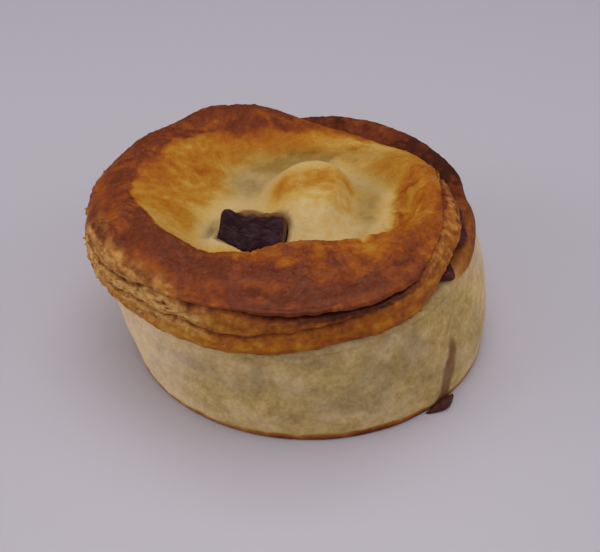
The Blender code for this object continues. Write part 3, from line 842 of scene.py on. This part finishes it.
def steak_frame(x, y):
    """Place points in the steak's own turned frame, and how far from its centre: 1 is about its outline."""
    place = turned(x - VENT_CENTRE[0], y - VENT_CENTRE[1], -STEAK_TURN)
    return place, (np.abs(place / STEAK_HALF[:2]) ** 4).sum(-1) ** 0.25


def collar(x, y):
    """How far the dough is drawn up round the steak: most of all over its front left corner."""
    place, away = steak_frame(x, y)
    side = np.degrees(np.arctan2(place[..., 1], place[..., 0]))
    near = bell((np.maximum(away, 1) - 1) / around(side, 0.35, (0.2, 100, 60)))
    return near * around(side, 1.1, (2, -140, 60), (1.1, -10, 60), (2.8, 100, 52))


def vent_outline(angle):
    """The vent's edge: the steak's plan with a little clearance."""
    way = direction(angle)
    half = STEAK_HALF[:2] + VENT_CLEARANCE
    reach = (np.abs(way / half) ** STEAK_SQUARENESS).sum(1) ** (-1 / STEAK_SQUARENESS)
    return steak_outline(*(way * reach[:, None]).T)


# ---------------------------------------------------------------- the lid's side


def side_line(angle, share):
    """Radius and height of the lid's side without its layers: a straight line from brow to foot.

    Also how deep the layers' relief may be there, as the lid is thin where it drapes over the rim behind.
    """
    brow, foot = brow_radius(angle), lid_foot_radius(angle)
    top_z = lid_top(*xy(ring(LID_CENTRE, angle, brow - BROW_INSET)))
    foot_z = lid_under(*xy(ring(LID_CENTRE, angle, foot)))
    depth = np.clip((top_z - foot_z) / 9, 0.12, 1)
    return brow * (1 - share) + foot * share, top_z + (foot_z - top_z) * share, depth


def on_lid(angle, radius, z):
    """Points at a radius and height round the lid's centre."""
    return over(ring(LID_CENTRE, angle, radius), z)


def strip_place(angle, z):
    """A place on the side, rolled out flat, for noise that follows the side; its seam is behind the pie."""
    return points_at(np.radians((angle - 90) % 360) * ROLLED_SIDE, z)


def ring_noise(angle, size, seed, octaves=1, level=0):
    """Noise along the side alone; each level gives another run of it."""
    return noise(strip_place(angle, level), (size, 1, 1), seed, octaves)


def crack_share(angle):
    """Share of the way down the lid's side at which the deep crack runs, with a little wander."""
    return crack_line(angle) + 0.02 * ring_noise(angle, 6, seed=37, octaves=3)


def crack_gap(angle):
    """Half the gap of the deep crack."""
    return 0.5 * crack_width(angle) * side_line(angle, crack_share(angle))[2]


def shingles(strip, pitch):
    """Relief of torn leaves that overlap down a side: each slopes out as it goes down, then is undercut."""
    phase = strip[..., 1] / pitch + 1.1 * noise(strip, (15, 7, 1), seed=48, octaves=2)
    return 0.5 - (phase + 0.16 * noise(strip, 1.6, seed=49)) % 1


def band_share(angle, place):
    """Share down the lid's side for a place on its lower layers: 0 at the crack, 0.5 the groove, 1 the foot."""
    crack, groove = crack_share(angle), groove_line(angle)
    groove = groove + 0.045 * ring_noise(angle, 7, seed=38, octaves=3)
    above, below = crack + (groove - crack) * place * 2, groove + (1 - groove) * (place * 2 - 1)
    return np.where(place < 0.5, above, below)


def split(angle, place):
    """1 where the shelf on the right is split in two along its length, 0 elsewhere."""
    wander = 0.06 * ring_noise(angle, 5, seed=40, octaves=3)
    return hill(angle, 8, 26) * bell((place - 0.68 - wander) / 0.04)


def layer_out(angle, place, share, relief):
    """How far the lower layers' face stands out of the side's line: their profile, and the shelf on the right."""
    shallow = smooth((0.16 - place) / 0.08) * (1 - crack_depth(angle))
    depth = groove_depth(angle) * smooth(0.75 + 1.2 * ring_noise(angle, 8, seed=39, octaves=2))
    shallow = np.maximum(shallow, smooth(1.8 - np.abs(place - 0.5) / 0.08) * (1 - depth))
    out = steps_between(place, LAYER_PROFILE) - 1.5 * split(angle, place)
    stand_out = shelf(angle) * climb(share, 0.1, 0.25) * smooth((1.05 - share) / 0.35)
    return (out + (0.1 - out) * shallow) * np.maximum(relief, 0.15) + stand_out


# ---------------------------------------------------------------- looks of the lid


def bared_lip(x, y):
    """1 along the outer edge on the left, where the brown skin ends in torn, tan pastry, 0 elsewhere."""
    r, angle = polar(x, y, LID_CENTRE)
    wander = 1.6 * noise(points_at(x, y), 4.5, seed=26, octaves=3)
    return smooth((r - 45.6 - wander) / 2.4) * smooth(1.6 * hill(angle, -141, 36))


def rim_bake(x, y, mottle, flecks):
    """How far the rim has baked: a dark belt along its front roll, a paler crest, and a charred lip.

    It also holds painted shade in the crease where the roll laps over on the left, in the skin's cracks and in
    the troughs of the wrinkles, and a painted highlight on the wrinkles' crests.
    """
    r, angle = polar(x, y, LID_CENTRE)
    flat, along = points_at(x, y), rolled_out(x, y)
    belt = bell((r - belt_radius(angle) - 0.8 * noise(flat, 9, seed=21, octaves=2)) / 3.2)
    crest = bell((r - crest_radius(angle)) / 3) * hill(angle, -80, 45)
    lip = climb(r, 46, 2) * smooth(0.35 + 2.2 * noise(flat, 4.5, seed=24, octaves=2))
    charred = climb(r, 44.5, 2.5) * around(angle, 0, (1, -70, 42), (1.3, -95, 24))
    # Painted shade along the crease where the brown roll laps over the golden slope on the left.
    lap = bell((r - crease_radius(angle)) / 0.7) * smooth(3 * hill(angle, -146, 34))
    return (
        browning(angle) + 0.16 * belt * smooth(1.6 * hill(angle, -105, 75)) - 0.12 * crest
        - 0.18 * lip * hill(angle, -116, 40) + 0.14 * charred - 0.04 * bared_lip(x, y) + 0.16 * lap
        + 0.13 * noise(along, (12, 6, 1), seed=20, octaves=2) + 0.1 * noise(along, (5, 3, 1), seed=22, octaves=3)
        + 0.05 * mottle - 0.15 * (climb(flecks, 0.02, 0.25) - 0.45) * hill(angle, 140, 62)
        + 0.07 * noise(over(flat, lid_top(x, y)), 5, seed=30, octaves=3) * hill(angle, -10, 40)
        # Painted highlight and shade: lighter on the crests of the arcs and gathers, darker in their troughs and
        # in the skin's cracks.
        - 0.1 * flaked(x, y) - 0.08 * arcs(x, y) - 0.015 * gathers(x, y) + 0.12 * skin_cracks(x, y)
    )


def gold_bake(x, y, mottle, flecks):
    """How far the floor and the inner slopes have baked: golden slopes, toasted spots on the mound and bumps."""
    r, angle = polar(x, y, LID_CENTRE)
    surface = points_at(x, y, lid_top(x, y))
    broad, fine = noise(points_at(x, y), 9, seed=21, octaves=2), noise(surface, 1.9, seed=19, octaves=2)
    toasted = climb(noise(surface, (13, 10, 10), seed=28, octaves=3), -0.25, 0.8)
    slope = around(angle, 0.14, (0.22, 165, 85), (0.26, 100, 50), (0.14, 22, 30), (0.1, -10, 30))
    share = np.clip((r - floor_radius(angle)) / (crest_radius(angle) - floor_radius(angle)), 0, 1)
    return (
        0.02 + slope * smooth(share * 1.6 + 0.1) + spots(x, y, GOLDEN)
        + (0.15 * toasted - 0.04) * smooth(share * 3 + 0.15) * hill(angle, 150, 115)
        + 0.07 * smooth(share * 2) * hill(angle, 100, 50) + 0.07 * bell((r - 26.5) / 2.6) * hill(angle, -8, 34)
        + (0.03 * broad + 0.03 * mottle + 0.035 * fine) * (0.4 + share)
        + 0.1 * flecks * hill(angle, 150, 90) * smooth(share * 2)
        + spots(x, y, TOASTED) * (0.85 + 0.3 * mottle) + (flecks + mottle) * spots(x, y, FRONT_OF_MOUND)
    )


def top_bake(x, y):
    """How far the lid's top has baked: the rim's brown outside a ragged edge, and the gold inside it."""
    r, angle = polar(x, y, LID_CENTRE)
    surface = points_at(x, y, lid_top(x, y))
    mottle, flecks = noise(surface, 3.6, seed=25, octaves=3), noise(surface, 2.6, seed=16, octaves=3)
    wander = edge_wander(angle) * noise(points_at(x, y), 5, seed=23, octaves=3)
    browned = smooth((r - brown_edge(angle) - wander) / edge_width(angle))
    bake = gold_bake(x, y, mottle, flecks) * (1 - browned) + rim_bake(x, y, mottle, flecks) * browned
    return np.clip(bake - spots(x, y, PALE_RIM_SPOT), 0, MOST_BAKED)


def top_damp_and_shade(x, y):
    """Damp, dull dough and painted shade: the valleys round the mound, and the pocket beside the steak."""
    r, angle = polar(x, y, LID_CENTRE)
    away, along = from_line(x, y, *POCKET)
    damp = spots(x, y, DAMP_AND_SHADED_VALLEY) + 0.22 * climb(x, 6, 8)
    # A line of painted shadow along the pocket beside the steak.
    damp = damp + 1.1 * bell(away / 1.4) * np.sin(np.pi * np.clip(along, 0.15, 0.85))
    damp = damp * (1 + 0.45 * noise(points_at(x, y), 4, seed=27, octaves=3))
    damp = damp * (1 - 0.95 * smooth(mound(x, y) / 1.5))
    return np.clip(damp * smooth((brown_edge(angle) - r) / 4), 0, 1)


def top_soak(x, y):
    """Where gravy has soaked into the pastry: a rim round the vent, and a broad stain behind the steak."""
    place, away = steak_frame(x, y)
    across, back = xy(place)
    behind = climb(back, 3, 5) * climb(across, -7, 4) * smooth((11 - across) / 5)
    reach = 0.7 + 0.7 * smooth(across / 6) + 2.6 * behind
    reach = reach + 0.5 * noise(points_at(x, y), 2.5, seed=29, octaves=2)
    near = smooth((reach - (away - 1) * STEAK_HALF[0]) / np.maximum(0.8 * reach, 0.4))
    return near * (0.65 + 0.25 * behind)


# ---------------------------------------------------------------- pieces


def make_lid(material):
    """The lid's top layer, a closed ring: out from the vent over the top, down to its lip, and back below.

    Its underside is cut back round the outside, where the lower layers lie, and follows lid_under further in.
    """
    angle = np.arange(0, 360, 360 / LID_STEPS)
    vent = vent_outline(angle)
    side_top = ring(LID_CENTRE, angle, brow_radius(angle) - BROW_INSET)
    share = between([0, 0.02, 0.45, 1], [2, 38, 52])[:-1, None]
    x, y = xy(vent + (side_top - vent) * share[..., None])
    settle = smooth(share / 0.04)
    top_z = lid_top(x, y) + collar(x, y) + lid_relief(x, y) * (0.3 + 0.7 * settle) - 0.7 * (1 - settle)
    top = points_at(x, y, top_z)

    down = np.linspace(0, 1, LIP_ROWS)[:, None]
    turn = np.broadcast_to(angle, (LIP_ROWS, len(angle)))
    side_share = down * crack_share(turn)
    radius, z, relief = side_line(turn, side_share)
    gap = crack_gap(turn)
    place = strip_place(turn, z)
    scallops = 0.5 * noise(place, (5, 9, 1), seed=31, octaves=2) + 0.18 * noise(place, 1.7, seed=32, octaves=2)
    skin = skin_edge(turn) + 0.05 * noise(place, (4, 9, 1), seed=33, octaves=3)
    leafy = smooth((side_share - skin) / 0.05)
    leaves = 0.45 * shingles(place, 2.8) + 0.25 * noise(place, 2.4, seed=34, octaves=2)
    ragged = (scallops + leafy * leaves) * relief - lip_drawn_in(turn)
    radius = radius + steps_between(down, LIP_PROFILE) * np.maximum(relief, 0.35) + ragged * smooth(down / 0.3)
    radius = radius + 0.95 * shelf(turn) * smooth(3 * hill(turn, -163, 50)) * down
    z = z + gap * down + 0.25 * relief * noise(place, (4, 9, 1), seed=35) * smooth(down / 0.5)
    side = on_lid(turn, radius, z)
    side[..., 2] += lid_relief(*xy(side)) * (1 - smooth(down / 0.35)) * 0.6
    side[0] = top[-1] + (side[1] - top[-1]) * 0.4
    layer_tone = 0.55 + 0.26 * noise(place, (5, 1.6, 1), seed=36, octaves=3)
    # deep paints shade along the bottom of the top layer's lip, over the mouth of the crack.
    deep = climb(down, 0.74, 0.2) * np.minimum(gap / 0.1, 1) * crack_depth(turn)
    side_bake = top_bake(*xy(side)) * (1 - leafy) + layer_tone * leafy + 0.3 * deep
    side_torn = np.maximum(leafy, TORN_LIP * bared_lip(*xy(side)))

    below = []
    for inward, rise in ((0.9, 0.25), (2.2, 0.3), (4, 0.2), (6, 0)):
        under = on_lid(angle, radius[-1] - inward, z[-1] + rise * relief[0])
        under[:, 2] = np.minimum(under[:, 2], lid_top(*xy(under)) - THINNEST_LID)
        below.append(under)
    inner = ring(LID_CENTRE, angle, radius[-1] - 8.5)
    for share in between([1, 0], [10]):
        flat = vent + (inner - vent) * share
        below.append(over(flat, lid_under(*xy(flat))))

    grid = np.concatenate([top, side, below])
    hidden = np.zeros((len(below), len(angle)))
    attributes = {
        "bake": np.concatenate([top_bake(x, y), side_bake, hidden + 0.9]),
        "torn": np.concatenate([TORN_LIP * bared_lip(x, y), side_torn, hidden]),
        "damp": np.concatenate([top_damp_and_shade(x, y), 0 * side_bake, hidden]),
        "soak": np.concatenate([top_soak(x, y), 0 * side_bake, hidden]),
        "matt": climb(grid[..., 1], 14, 16),
    }
    make_piece("lid_crust", grid, closed_ring(grid), material, "puff_pastry", ["puff_lid"], attributes)


def make_lower_layers(material):
    """The lid's lower layers, a closed ring: in the crack, out over the middle layer, the groove and the band.

    Places from 0 to 1 run down the face. Its relief is leaves, long and thin, where the layers are torn, and
    rounded lumps where they are whole.
    """
    angle = np.arange(0, 360, 360 / LAYER_STEPS)
    place = between([0, 0.1, 0.42, 0.58, 1], [6, 16, 14, 22])[:, None]
    turn = np.broadcast_to(angle, (len(place), len(angle)))
    share = band_share(turn, place)
    radius, z, relief = side_line(turn, share)
    radius = radius + layer_out(turn, place, share, relief)
    strip = strip_place(turn, z)
    open_layers = tornness(turn)
    crumbs = noise(strip, 1.8, seed=42, octaves=3)
    lumps = noise(strip, (6, 3.5, 1), seed=43, octaves=2)
    leaves = noise(strip, (4.5, 0.9, 1), seed=41, octaves=2)
    leaves = 0.25 * leaves + 0.55 * shingles(strip, 3) + 0.16 * crumbs + 0.45 * lumps
    whole = lumps * around(turn, 0.45, (0.3, -10, 40)) + 0.36 * crumbs
    pebbles = noise(on_lid(turn, radius, z), 1.9, seed=50, octaves=2) * hill(turn, -16, 44)
    pits = -0.8 * smooth((noise(strip, (2.6, 1.8, 1), seed=44, octaves=2) - 0.34) / 0.25)
    pits = pits * climb(open_layers, 0.5, 0.4) * smooth(0.9 - place)
    detail = open_layers * leaves + (1 - open_layers) * whole + 0.7 * pebbles + pits
    detail = detail * smooth(place / 0.08) * smooth((1 - place) / 0.04 + 0.2)
    radius = radius + detail * np.maximum(relief, 0.3)
    wave = 0.35 * noise(strip, (7, 14, 1), seed=45, octaves=2) * smooth(place / 0.2) * smooth((1 - place) / 0.2)
    z = z - crack_gap(turn) * (1 - place) ** 3 + wave * relief
    face = on_lid(turn, radius, z)
    face[-1, :, 2] = lid_under(*xy(face[-1]))

    behind = []
    for inward in (3, 6, 10):
        flat = ring(LID_CENTRE, angle, lid_foot_radius(angle) - inward)
        behind.append(over(flat, lid_under(*xy(flat))))
    inner = lid_foot_radius(angle) - 10
    for r, below in ((inner, 0.3), (np.maximum(radius[0] - 3, inner + 1), 0.15)):
        row = on_lid(angle, r, face[0, :, 2] - below)
        covered = np.minimum(row[:, 2], lid_top(*xy(row)) - 2)
        row[:, 2] = np.maximum(covered, lid_under(*xy(row)) + 0.1)
        behind.append(row)
    grid = np.concatenate([face, behind])

    depth = crack_depth(turn)
    mottle = noise(strip, (4.5, 2.4, 1), seed=46, octaves=3)
    pale = spots(turn, z, PALE_BREAKS)
    shadow = hill(turn, -60, 24) * smooth((0.5 - place) / 0.15)
    shadow = shadow + 0.6 * hill(turn, -77, 20) * smooth((0.36 - place) / 0.2)
    # Painted shade darkens the crack's mouth, the groove, the split in the shelf and the pits, as the shadow term
    # does below the front; the pebbles' tops are lighter as a painted highlight.
    bake = (
        band_bake(turn) + 0.17 * mottle + 0.06 * noise(strip, (1.4, 4, 1), seed=47, octaves=2) + 0.1 * crumbs
        + 0.45 * bell(place / 0.09) * depth + 0.28 * bell((place - 0.5) / 0.035) * groove_depth(turn)
        + 0.4 * split(turn, place) + 0.42 * shadow - 0.45 * pits - 0.26 * pebbles - 0.16 * pale
        - 0.06 * open_layers
    )
    torn = open_layers * (1 - 0.8 * climb(place, 0.54, 0.16))
    torn = np.clip(torn + pale * (1 + mottle) + 0.35 * climb(mottle, 0.3, 0.3), 0, 1)
    torn = torn * smooth((place - 0.04) / 0.06 + 1.8 * (1 - depth))
    out_of_sight = np.full((len(behind), len(angle)), 0.9)
    out_of_sight[-1] += (bake[0] - 0.9) * (1 - depth[0])
    attributes = {
        "bake": np.concatenate([bake, out_of_sight]),
        "torn": np.concatenate([torn, 0 * out_of_sight[1:], torn[:1]]),
    }
    make_piece("lid_layers", grid, closed_ring(grid), material, "puff_pastry", (), attributes)


def make_leaves(material):
    """Torn leaves of pastry that stand out of the lid's lower layers on the left.

    Each leaf is a closed strip: a root buried in the side, and a ragged edge whose reach is noise along the edge,
    drawn in out of sight towards the strip's two ends.
    """
    grids, bakes = [], []
    for k, (place, start, end) in enumerate(LEAVES):
        angle, level = np.arange(start, end, 0.3), 37 * k
        place = place + 0.06 * ring_noise(angle, 9, seed=51, octaves=2, level=level)
        share = band_share(angle, place)
        radius, z, relief = side_line(angle, share)
        radius = radius + layer_out(angle, place, share, relief)
        ragged = ring_noise(angle, 4, seed=53, octaves=2, level=level)
        ragged = ragged + 0.5 * ring_noise(angle, 1.2, seed=55, level=level)
        along = (angle - start) / (end - start)
        ends = smooth(np.minimum(along, 1 - along) / 0.18)
        reach = -1.4 + ends * (1.4 + 0.8 * ragged)
        z = z + 0.5 * ring_noise(angle, 6, seed=57, octaves=2, level=level)
        rows = []
        for out, up in LEAF_SECTION:
            r = radius + (reach * out if out > 0 else out)
            rows.append(on_lid(angle, r, z + up - 0.25 * max(out, 0) ** 2 * ragged))
        grids.append(np.stack(rows, 1)[:, ::-1])
        bakes.append(np.stack([0.4 + 0.16 * ragged - 0.1 * max(out, 0) for out, _ in LEAF_SECTION], 1)[:, ::-1])
    make_torn_bits("lid_leaves", grids, bakes, 1, material)


def make_flakes(material):
    """Loose curled flakes of skin on the lid's side and corner.

    Each is a thin leaf: its sections are flat ovals that widen and narrow as a sine along its length, and it
    bends away from the side towards its tips.
    """
    along = np.linspace(-0.97, 0.97, 17)[:, None]
    turn = np.linspace(0, 2 * np.pi, 10, endpoint=False)
    grids = []
    for k, (angle, share, length, lean) in enumerate(FLAKES):
        radius, z, _ = side_line(np.array([angle]), np.array([share]))
        radius = radius[0] + shelf(angle) * smooth(share / 0.3) - 2.2 * smooth(1 - share / 0.3) - 0.5
        width = 0.28 * length * np.sqrt(1 - along**2) * (1 + 0.3 * np.sin(5 * along + k))
        bend = 0.5 * length * along + 0.15 * width * np.cos(turn)
        out = width * np.cos(turn) * np.cos(lean) + 0.2 * along * length / 3
        up = width * np.cos(turn) * np.sin(lean) + 0.1 * np.sin(turn) + 0.2 * np.sin(3 * along + 2 * k)
        grids.append(on_lid(angle + np.degrees(bend / radius), radius + out, z[0] + up))
    bakes = [0.5 - 0.1 * np.cos(turn) + 0 * along] * len(grids)
    make_torn_bits("lid_flakes", grids, bakes, 0.6, material)


def shoulder_height(angle):
    """Height of the rim's outer edge round the case."""
    return joint_plane(*xy(ring(CASE_LEAN, angle, case_radius(angle, CASE_HEIGHT)))) - SHOULDER_DROP


def make_case(material):
    """The case: flat foot, bellied wall, rolled lip, flat inner ledge, and the hollow that holds the filling."""
    angle = np.arange(0, 360, 360 / CASE_STEPS)
    shoulder = shoulder_height(angle)
    rows = [over(ring(0, angle, r), 0) for r in (FOOT_RADIUS * 0.5, FOOT_RADIUS - 3, FOOT_RADIUS - 0.35)]
    for share in np.concatenate([np.linspace(0.012, 0.06, 5), np.linspace(0.08, 1, 72)]):
        z = shoulder * share
        place = over(ring(0, angle, FOOT_RADIUS), z)
        foot_lip = 0.22 * bell((z - 0.7) / 0.6) * (1 + 0.5 * noise(place, 6, seed=61))
        swell = 0.35 * noise(place, (14, 14, 20), seed=63) + 0.12 * noise(place, 4, seed=65, octaves=2)
        seam = -0.35 * bell((angle - 263) / 0.9) * climb(z, 3, 5)
        radius = case_radius(angle, z) + foot_lip + (swell + seam) * smooth(z / 4)
        rows.append(over(ring(case_centre(z), angle, radius), z))
    edge, centre, width = case_radius(angle, shoulder), case_centre(shoulder), rim_width(angle)
    ledge = [(share * width, 0) for share in np.linspace(1.4, 9, 26) / RIM_WIDTH]
    for inward, below in (*RIM_CORNER, *ledge):
        flat = ring(centre, angle, edge - inward)
        rows.append(over(flat, joint(*xy(flat)) - GAP / 2 - below))
    rough_rows = slice(FOOT_ROWS, len(rows))
    for share, inset in ((0.86, width), (0.74, WALL), (0.4, WALL), (0, WALL)):
        z = BASE_THICKNESS + (shoulder - BASE_THICKNESS) * share
        rows.append(over(ring(case_centre(z), angle, case_radius(angle, z) - inset), z))
    grid = np.array(rows)
    x, y, z = np.moveaxis(grid, -1, 0)
    rough = noise(grid, 5, seed=71, octaves=3)
    relief = smooth(2.6 * hill(angle, 38, 98)) * smooth((z - joint_plane(x, y) + 3) / 2)
    relief = relief * (0.22 * rough + 0.22 * noise(grid, 1.6, seed=73, octaves=2))
    grid[rough_rows, :, 2] += relief[rough_rows]

    _, turn = polar(x, y, CASE_LEAN)
    # The hill at 27 degrees is partly browning and partly painted shadow of the lid's corner on the lip.
    browned = around(turn, 0.6, (0.44, 27, 36), (0.3, 78, 48), (0.04, -5, 25))
    browned = browned + 0.08 * rough + 0.12 * noise(grid, (2.2, 2.2, 1.2), seed=79, octaves=3)
    reach_down = around(turn, -1.7, (-2.4, -5, 42), (-1.6, 60, 50)) + rough
    bake = smooth(3 * hill(turn, 31, 91)) * browned * smooth((z - joint_plane(x, y) - reach_down) / 1.6)
    toasted = around(turn, 0.66, (0.16, -60, 45)) + 0.14 * rough
    toast_height = around(turn, 0.5, (0.8, -80, 50)) + 0.3 * rough
    bake = np.maximum(bake, toasted * smooth((toast_height + 2 - z) / 2.8))
    blotch = noise(grid, (10, 10, 7), seed=75, octaves=4)
    damp = np.clip((spots(turn, z, DAMP_WALL) + 0.28) * (1 + 1.6 * blotch), 0, 1) * climb(z, 2, 6)
    # Rich in front and on the right, which also paints shade on the sides away from the light.
    rich = smooth(1.8 * hill(turn, -70, 80)) * (0.9 + 0.5 * noise(grid, (12, 12, 9), seed=77, octaves=2))
    from_run = (np.degrees(np.arctan2(y, x)) - np.interp(z, *RUN_ANGLE) + 180) % 360 - 180
    stain = 1.1 * smooth(1.5 - np.abs(from_run + 0.4 * rough) / np.interp(z, *RUN_WIDTH))
    stain = stain * climb(z, -1, 2) * smooth((20.5 - z) / 5) * (0.85 + 0.3 * rough)
    stain = np.maximum(np.clip(stain, 0, 1), spots(turn, z, STAIN_HALO))
    looks = {"bake": bake, "damp": damp, "rich": np.clip(rich, 0, 1), "stain": stain}
    looks = {name: with_poles(values) for name, values in looks.items()}
    make_piece("case_crust", *closed_grid(grid), material, "shortcrust", ["shortcrust_case"], looks)


def gravy_reach(angle):
    """How far out over the rim the gravy has run: a thin tongue with two fat beads."""
    beads = 1.8 * hill(angle, -20, 8) + 4.6 * hill(angle, -40, 9) + 0.4 * ring_noise(angle, 3, seed=93)
    return smooth(2.2 * (hill(angle, OOZE_ANGLE, OOZE_SPREAD) - 0.3)) * (6.4 + beads)


def make_filling(material):
    """The filling, domed up under the lid, with its tongue of gravy out over the rim."""
    angle = np.arange(0, 360, 0.5)
    shoulder, width = shoulder_height(angle), rim_width(angle)
    rows = []
    for share, inset in ((0, WALL), (0.4, WALL), (0.74, WALL), (0.86, width)):
        z = BASE_THICKNESS + (shoulder - BASE_THICKNESS) * share + (GAP if share == 0 else 0)
        z = z - (0.4 if share > 0.7 else 0)
        rows.append(over(ring(case_centre(z), angle, case_radius(angle, z) - inset - 1.6 * GAP), z))
    centre = case_centre(shoulder)
    inner = case_radius(angle, shoulder) - width - 1.6 * GAP
    reach = gravy_reach(angle)
    over_rim = ooze(angle, ease=3.2)

    def tongue_row(radius, share):
        """A row on the tongue: share 0 on its underside, 1 on its top."""
        flat = ring(centre, angle, radius)
        bottom = joint(*xy(flat)) - 0.5 + (0.55 + GAP / 2) * over_rim
        top = lid_under(*xy(flat)) - GAP - 0.3 * over_rim
        return over(flat, bottom + (top - bottom) * share)

    rows.append(tongue_row(inner, 0) - [0, 0, 0.6])
    for out, share, shift in TONGUE_SECTION:
        rows.append(tongue_row(inner + out * reach + shift, share))
    for share, sink in ((0.96, 0.6), (0.8, 0.3), (0.55, 0), (0.28, 0), (0.1, 0)):
        flat = ring(CASE_LEAN, angle, share * inner)
        rows.append(over(flat, lid_under(*xy(flat)) - GAP - sink * over_rim))
    make_piece("gravy", *closed_grid(np.array(rows)), material, "gravy", ["gravy_filling"])


def make_steak(material):
    """A chunk of braised beef: a rounded box whose surface is pushed out and in by fibres and torn lumps.

    A point of longitude u and latitude v is pushed onto |x|^p + |y|^p + |z|^p = 1, and scaled to the half sizes.
    """
    u = np.radians(np.arange(0, 360, 2))
    v = np.radians(np.linspace(-88, 88, 100))[:, None]
    ball = points_at(np.cos(v) * np.cos(u), np.cos(v) * np.sin(u), np.sin(v))
    ball /= (np.abs(ball) ** STEAK_SQUARENESS).sum(-1, keepdims=True) ** (1 / STEAK_SQUARENESS)
    place = ball * STEAK_HALF
    x, y, z = np.moveaxis(place, -1, 0)
    lumps = 0.5 * np.sin(0.55 * x + 1) * np.cos(0.7 * y) + 0.35 * np.sin(1.1 * y + 0.6 * x + 2)
    torn = 0.6 * noise(place, 3, seed=81, octaves=3) + 0.25 * noise(place, (4, 1.2, 1.2), seed=83, octaves=2)
    z = z + climb(z, -1, 4) * (lumps * 0.9 + spots(x, y, RAISED_CORNER) + 0.05 * x + torn)
    flat = steak_outline(x, y)
    seat = lid_under(*xy(flat)).max()
    edge = np.maximum(y - 4.2, 0.8 * (x - 7)) + 0.7 * noise(place, 2.5, seed=85, octaves=2)
    dry = smooth(edge / 2.2) * climb(z, 1, 2) * climb(x, -5, 3)
    dry = dry * (0.45 + 0.55 * climb(y, 3, 2))
    points, faces = closed_grid(over(flat, z + seat + STEAK_HALF[2] + 0.1))
    make_piece("steak", points, faces, material, "steak", ["steak_chunk"], {"dry": with_poles(dry)})


def make_drop(material):
    """A drop of gravy baked on along the foot: half-oval sections that swell and shrink along an arc."""
    place = np.linspace(-0.985, 0.985, 60)[:, None]
    turn = np.linspace(0, 2 * np.pi, 36, endpoint=False)
    full = np.sqrt(1 - place**2) * (0.8 + 0.2 * np.cos(3 * place))
    out = FOOT_RADIUS + 0.3 + GAP + DROP_WIDTH * full * (0.5 - 0.5 * np.cos(turn))
    up = np.maximum(DROP_HEIGHT * full * (0.42 + 0.58 * np.sin(turn)), 0)
    grid = over(ring(0, DROP_ANGLE + DROP_HALF_ANGLE * place, out), up)
    grid[..., 2] += 0.25 * noise(grid, 1.8, seed=91, octaves=2) * smooth(up / 0.6) * full
    make_piece("foot_drop", *closed_grid(grid), material, "baked_gravy", ["gravy_drop"])


# ---------------------------------------------------------------- stage, light and camera


def make_table():
    """A plain pale table top under the pie."""
    mesh = bpy.data.meshes.new("table")
    mesh.from_pydata([(-2.0, -2.0, 0.0), (2.0, -2.0, 0.0), (2.0, 2.0, 0.0), (-2.0, 2.0, 0.0)], [], [(0, 1, 2, 3)])
    mesh.materials.append(table_material())
    table = link("table", mesh)


def make_light(name, location, size, energy, colour):
    """A square area light that faces the pie."""
    light = bpy.data.lights.new(name, "AREA")
    light.size, light.energy, light.color = size, energy, colour
    lamp = link(name, light)
    lamp.location = location
    lamp.rotation_euler = (Vector((0, 0, 0.02)) - Vector(location)).to_track_quat("-Z", "Y").to_euler()


def make_camera():
    """A camera in front, 36.5 degrees up and 246 mm from the point it looks at."""
    target = Vector((-2.46, 3.59, 10.87)) * MM
    rise = np.radians(36.5)
    camera = bpy.data.cameras.new("camera")
    camera.lens, camera.sensor_width, camera.clip_start = 50.7, 36, 0.01
    eye = link("camera", camera)
    eye.location = target + Vector((0, -np.cos(rise), np.sin(rise))) * 245.7 * MM
    eye.rotation_euler = (target - eye.location).to_track_quat("-Z", "Y").to_euler()
    bpy.context.scene.camera = eye


def make_world():
    """An even, faintly cool room whose strength falls from 0.58 in front to 0.08 towards the back."""
    world = bpy.data.worlds.new("soft_room")
    world.use_nodes = True
    tree = world.node_tree
    background = tree.nodes["Background"]
    background.inputs["Color"].default_value = (0.92, 0.92, 1.0, 1.0)
    way = tree.nodes.new("ShaderNodeTexCoord")
    parts = tree.nodes.new("ShaderNodeSeparateXYZ")
    fade = tree.nodes.new("ShaderNodeMapRange")
    fade.interpolation_type = "SMOOTHSTEP"
    for socket, value in zip(list(fade.inputs)[1:5], (0.1, 0.8, 0.58, 0.08)):
        socket.default_value = value
    tree.links.new(way.outputs["Generated"], parts.inputs[0])
    tree.links.new(parts.outputs["Y"], fade.inputs[0])
    tree.links.new(fade.outputs[0], background.inputs["Strength"])
    bpy.context.scene.world = world
    bpy.context.scene.view_settings.view_transform = "Standard"


puff = puff_material()
make_lid(puff)
make_lower_layers(puff)
make_leaves(puff)
make_flakes(puff)
make_case(shortcrust_material())
make_filling(gravy_material("set_gravy", 0.25))
make_steak(steak_material())
make_drop(gravy_material("burnt_gravy", 0.4))
make_table()
make_world()
make_light("ceiling", (0, 0.18, 0.85), 0.7, 3.3, (1, 0.98, 0.97))
make_light("left", (-0.8, -0.2, 0.34), 0.5, 1.8, (1, 0.97, 0.95))
make_light("right", (0.8, -0.2, 0.5), 0.5, 1, (1, 0.98, 0.97))
make_light("front", (0.1, -0.8, 0.6), 0.6, 0.15, (1, 0.97, 0.95))
make_camera()
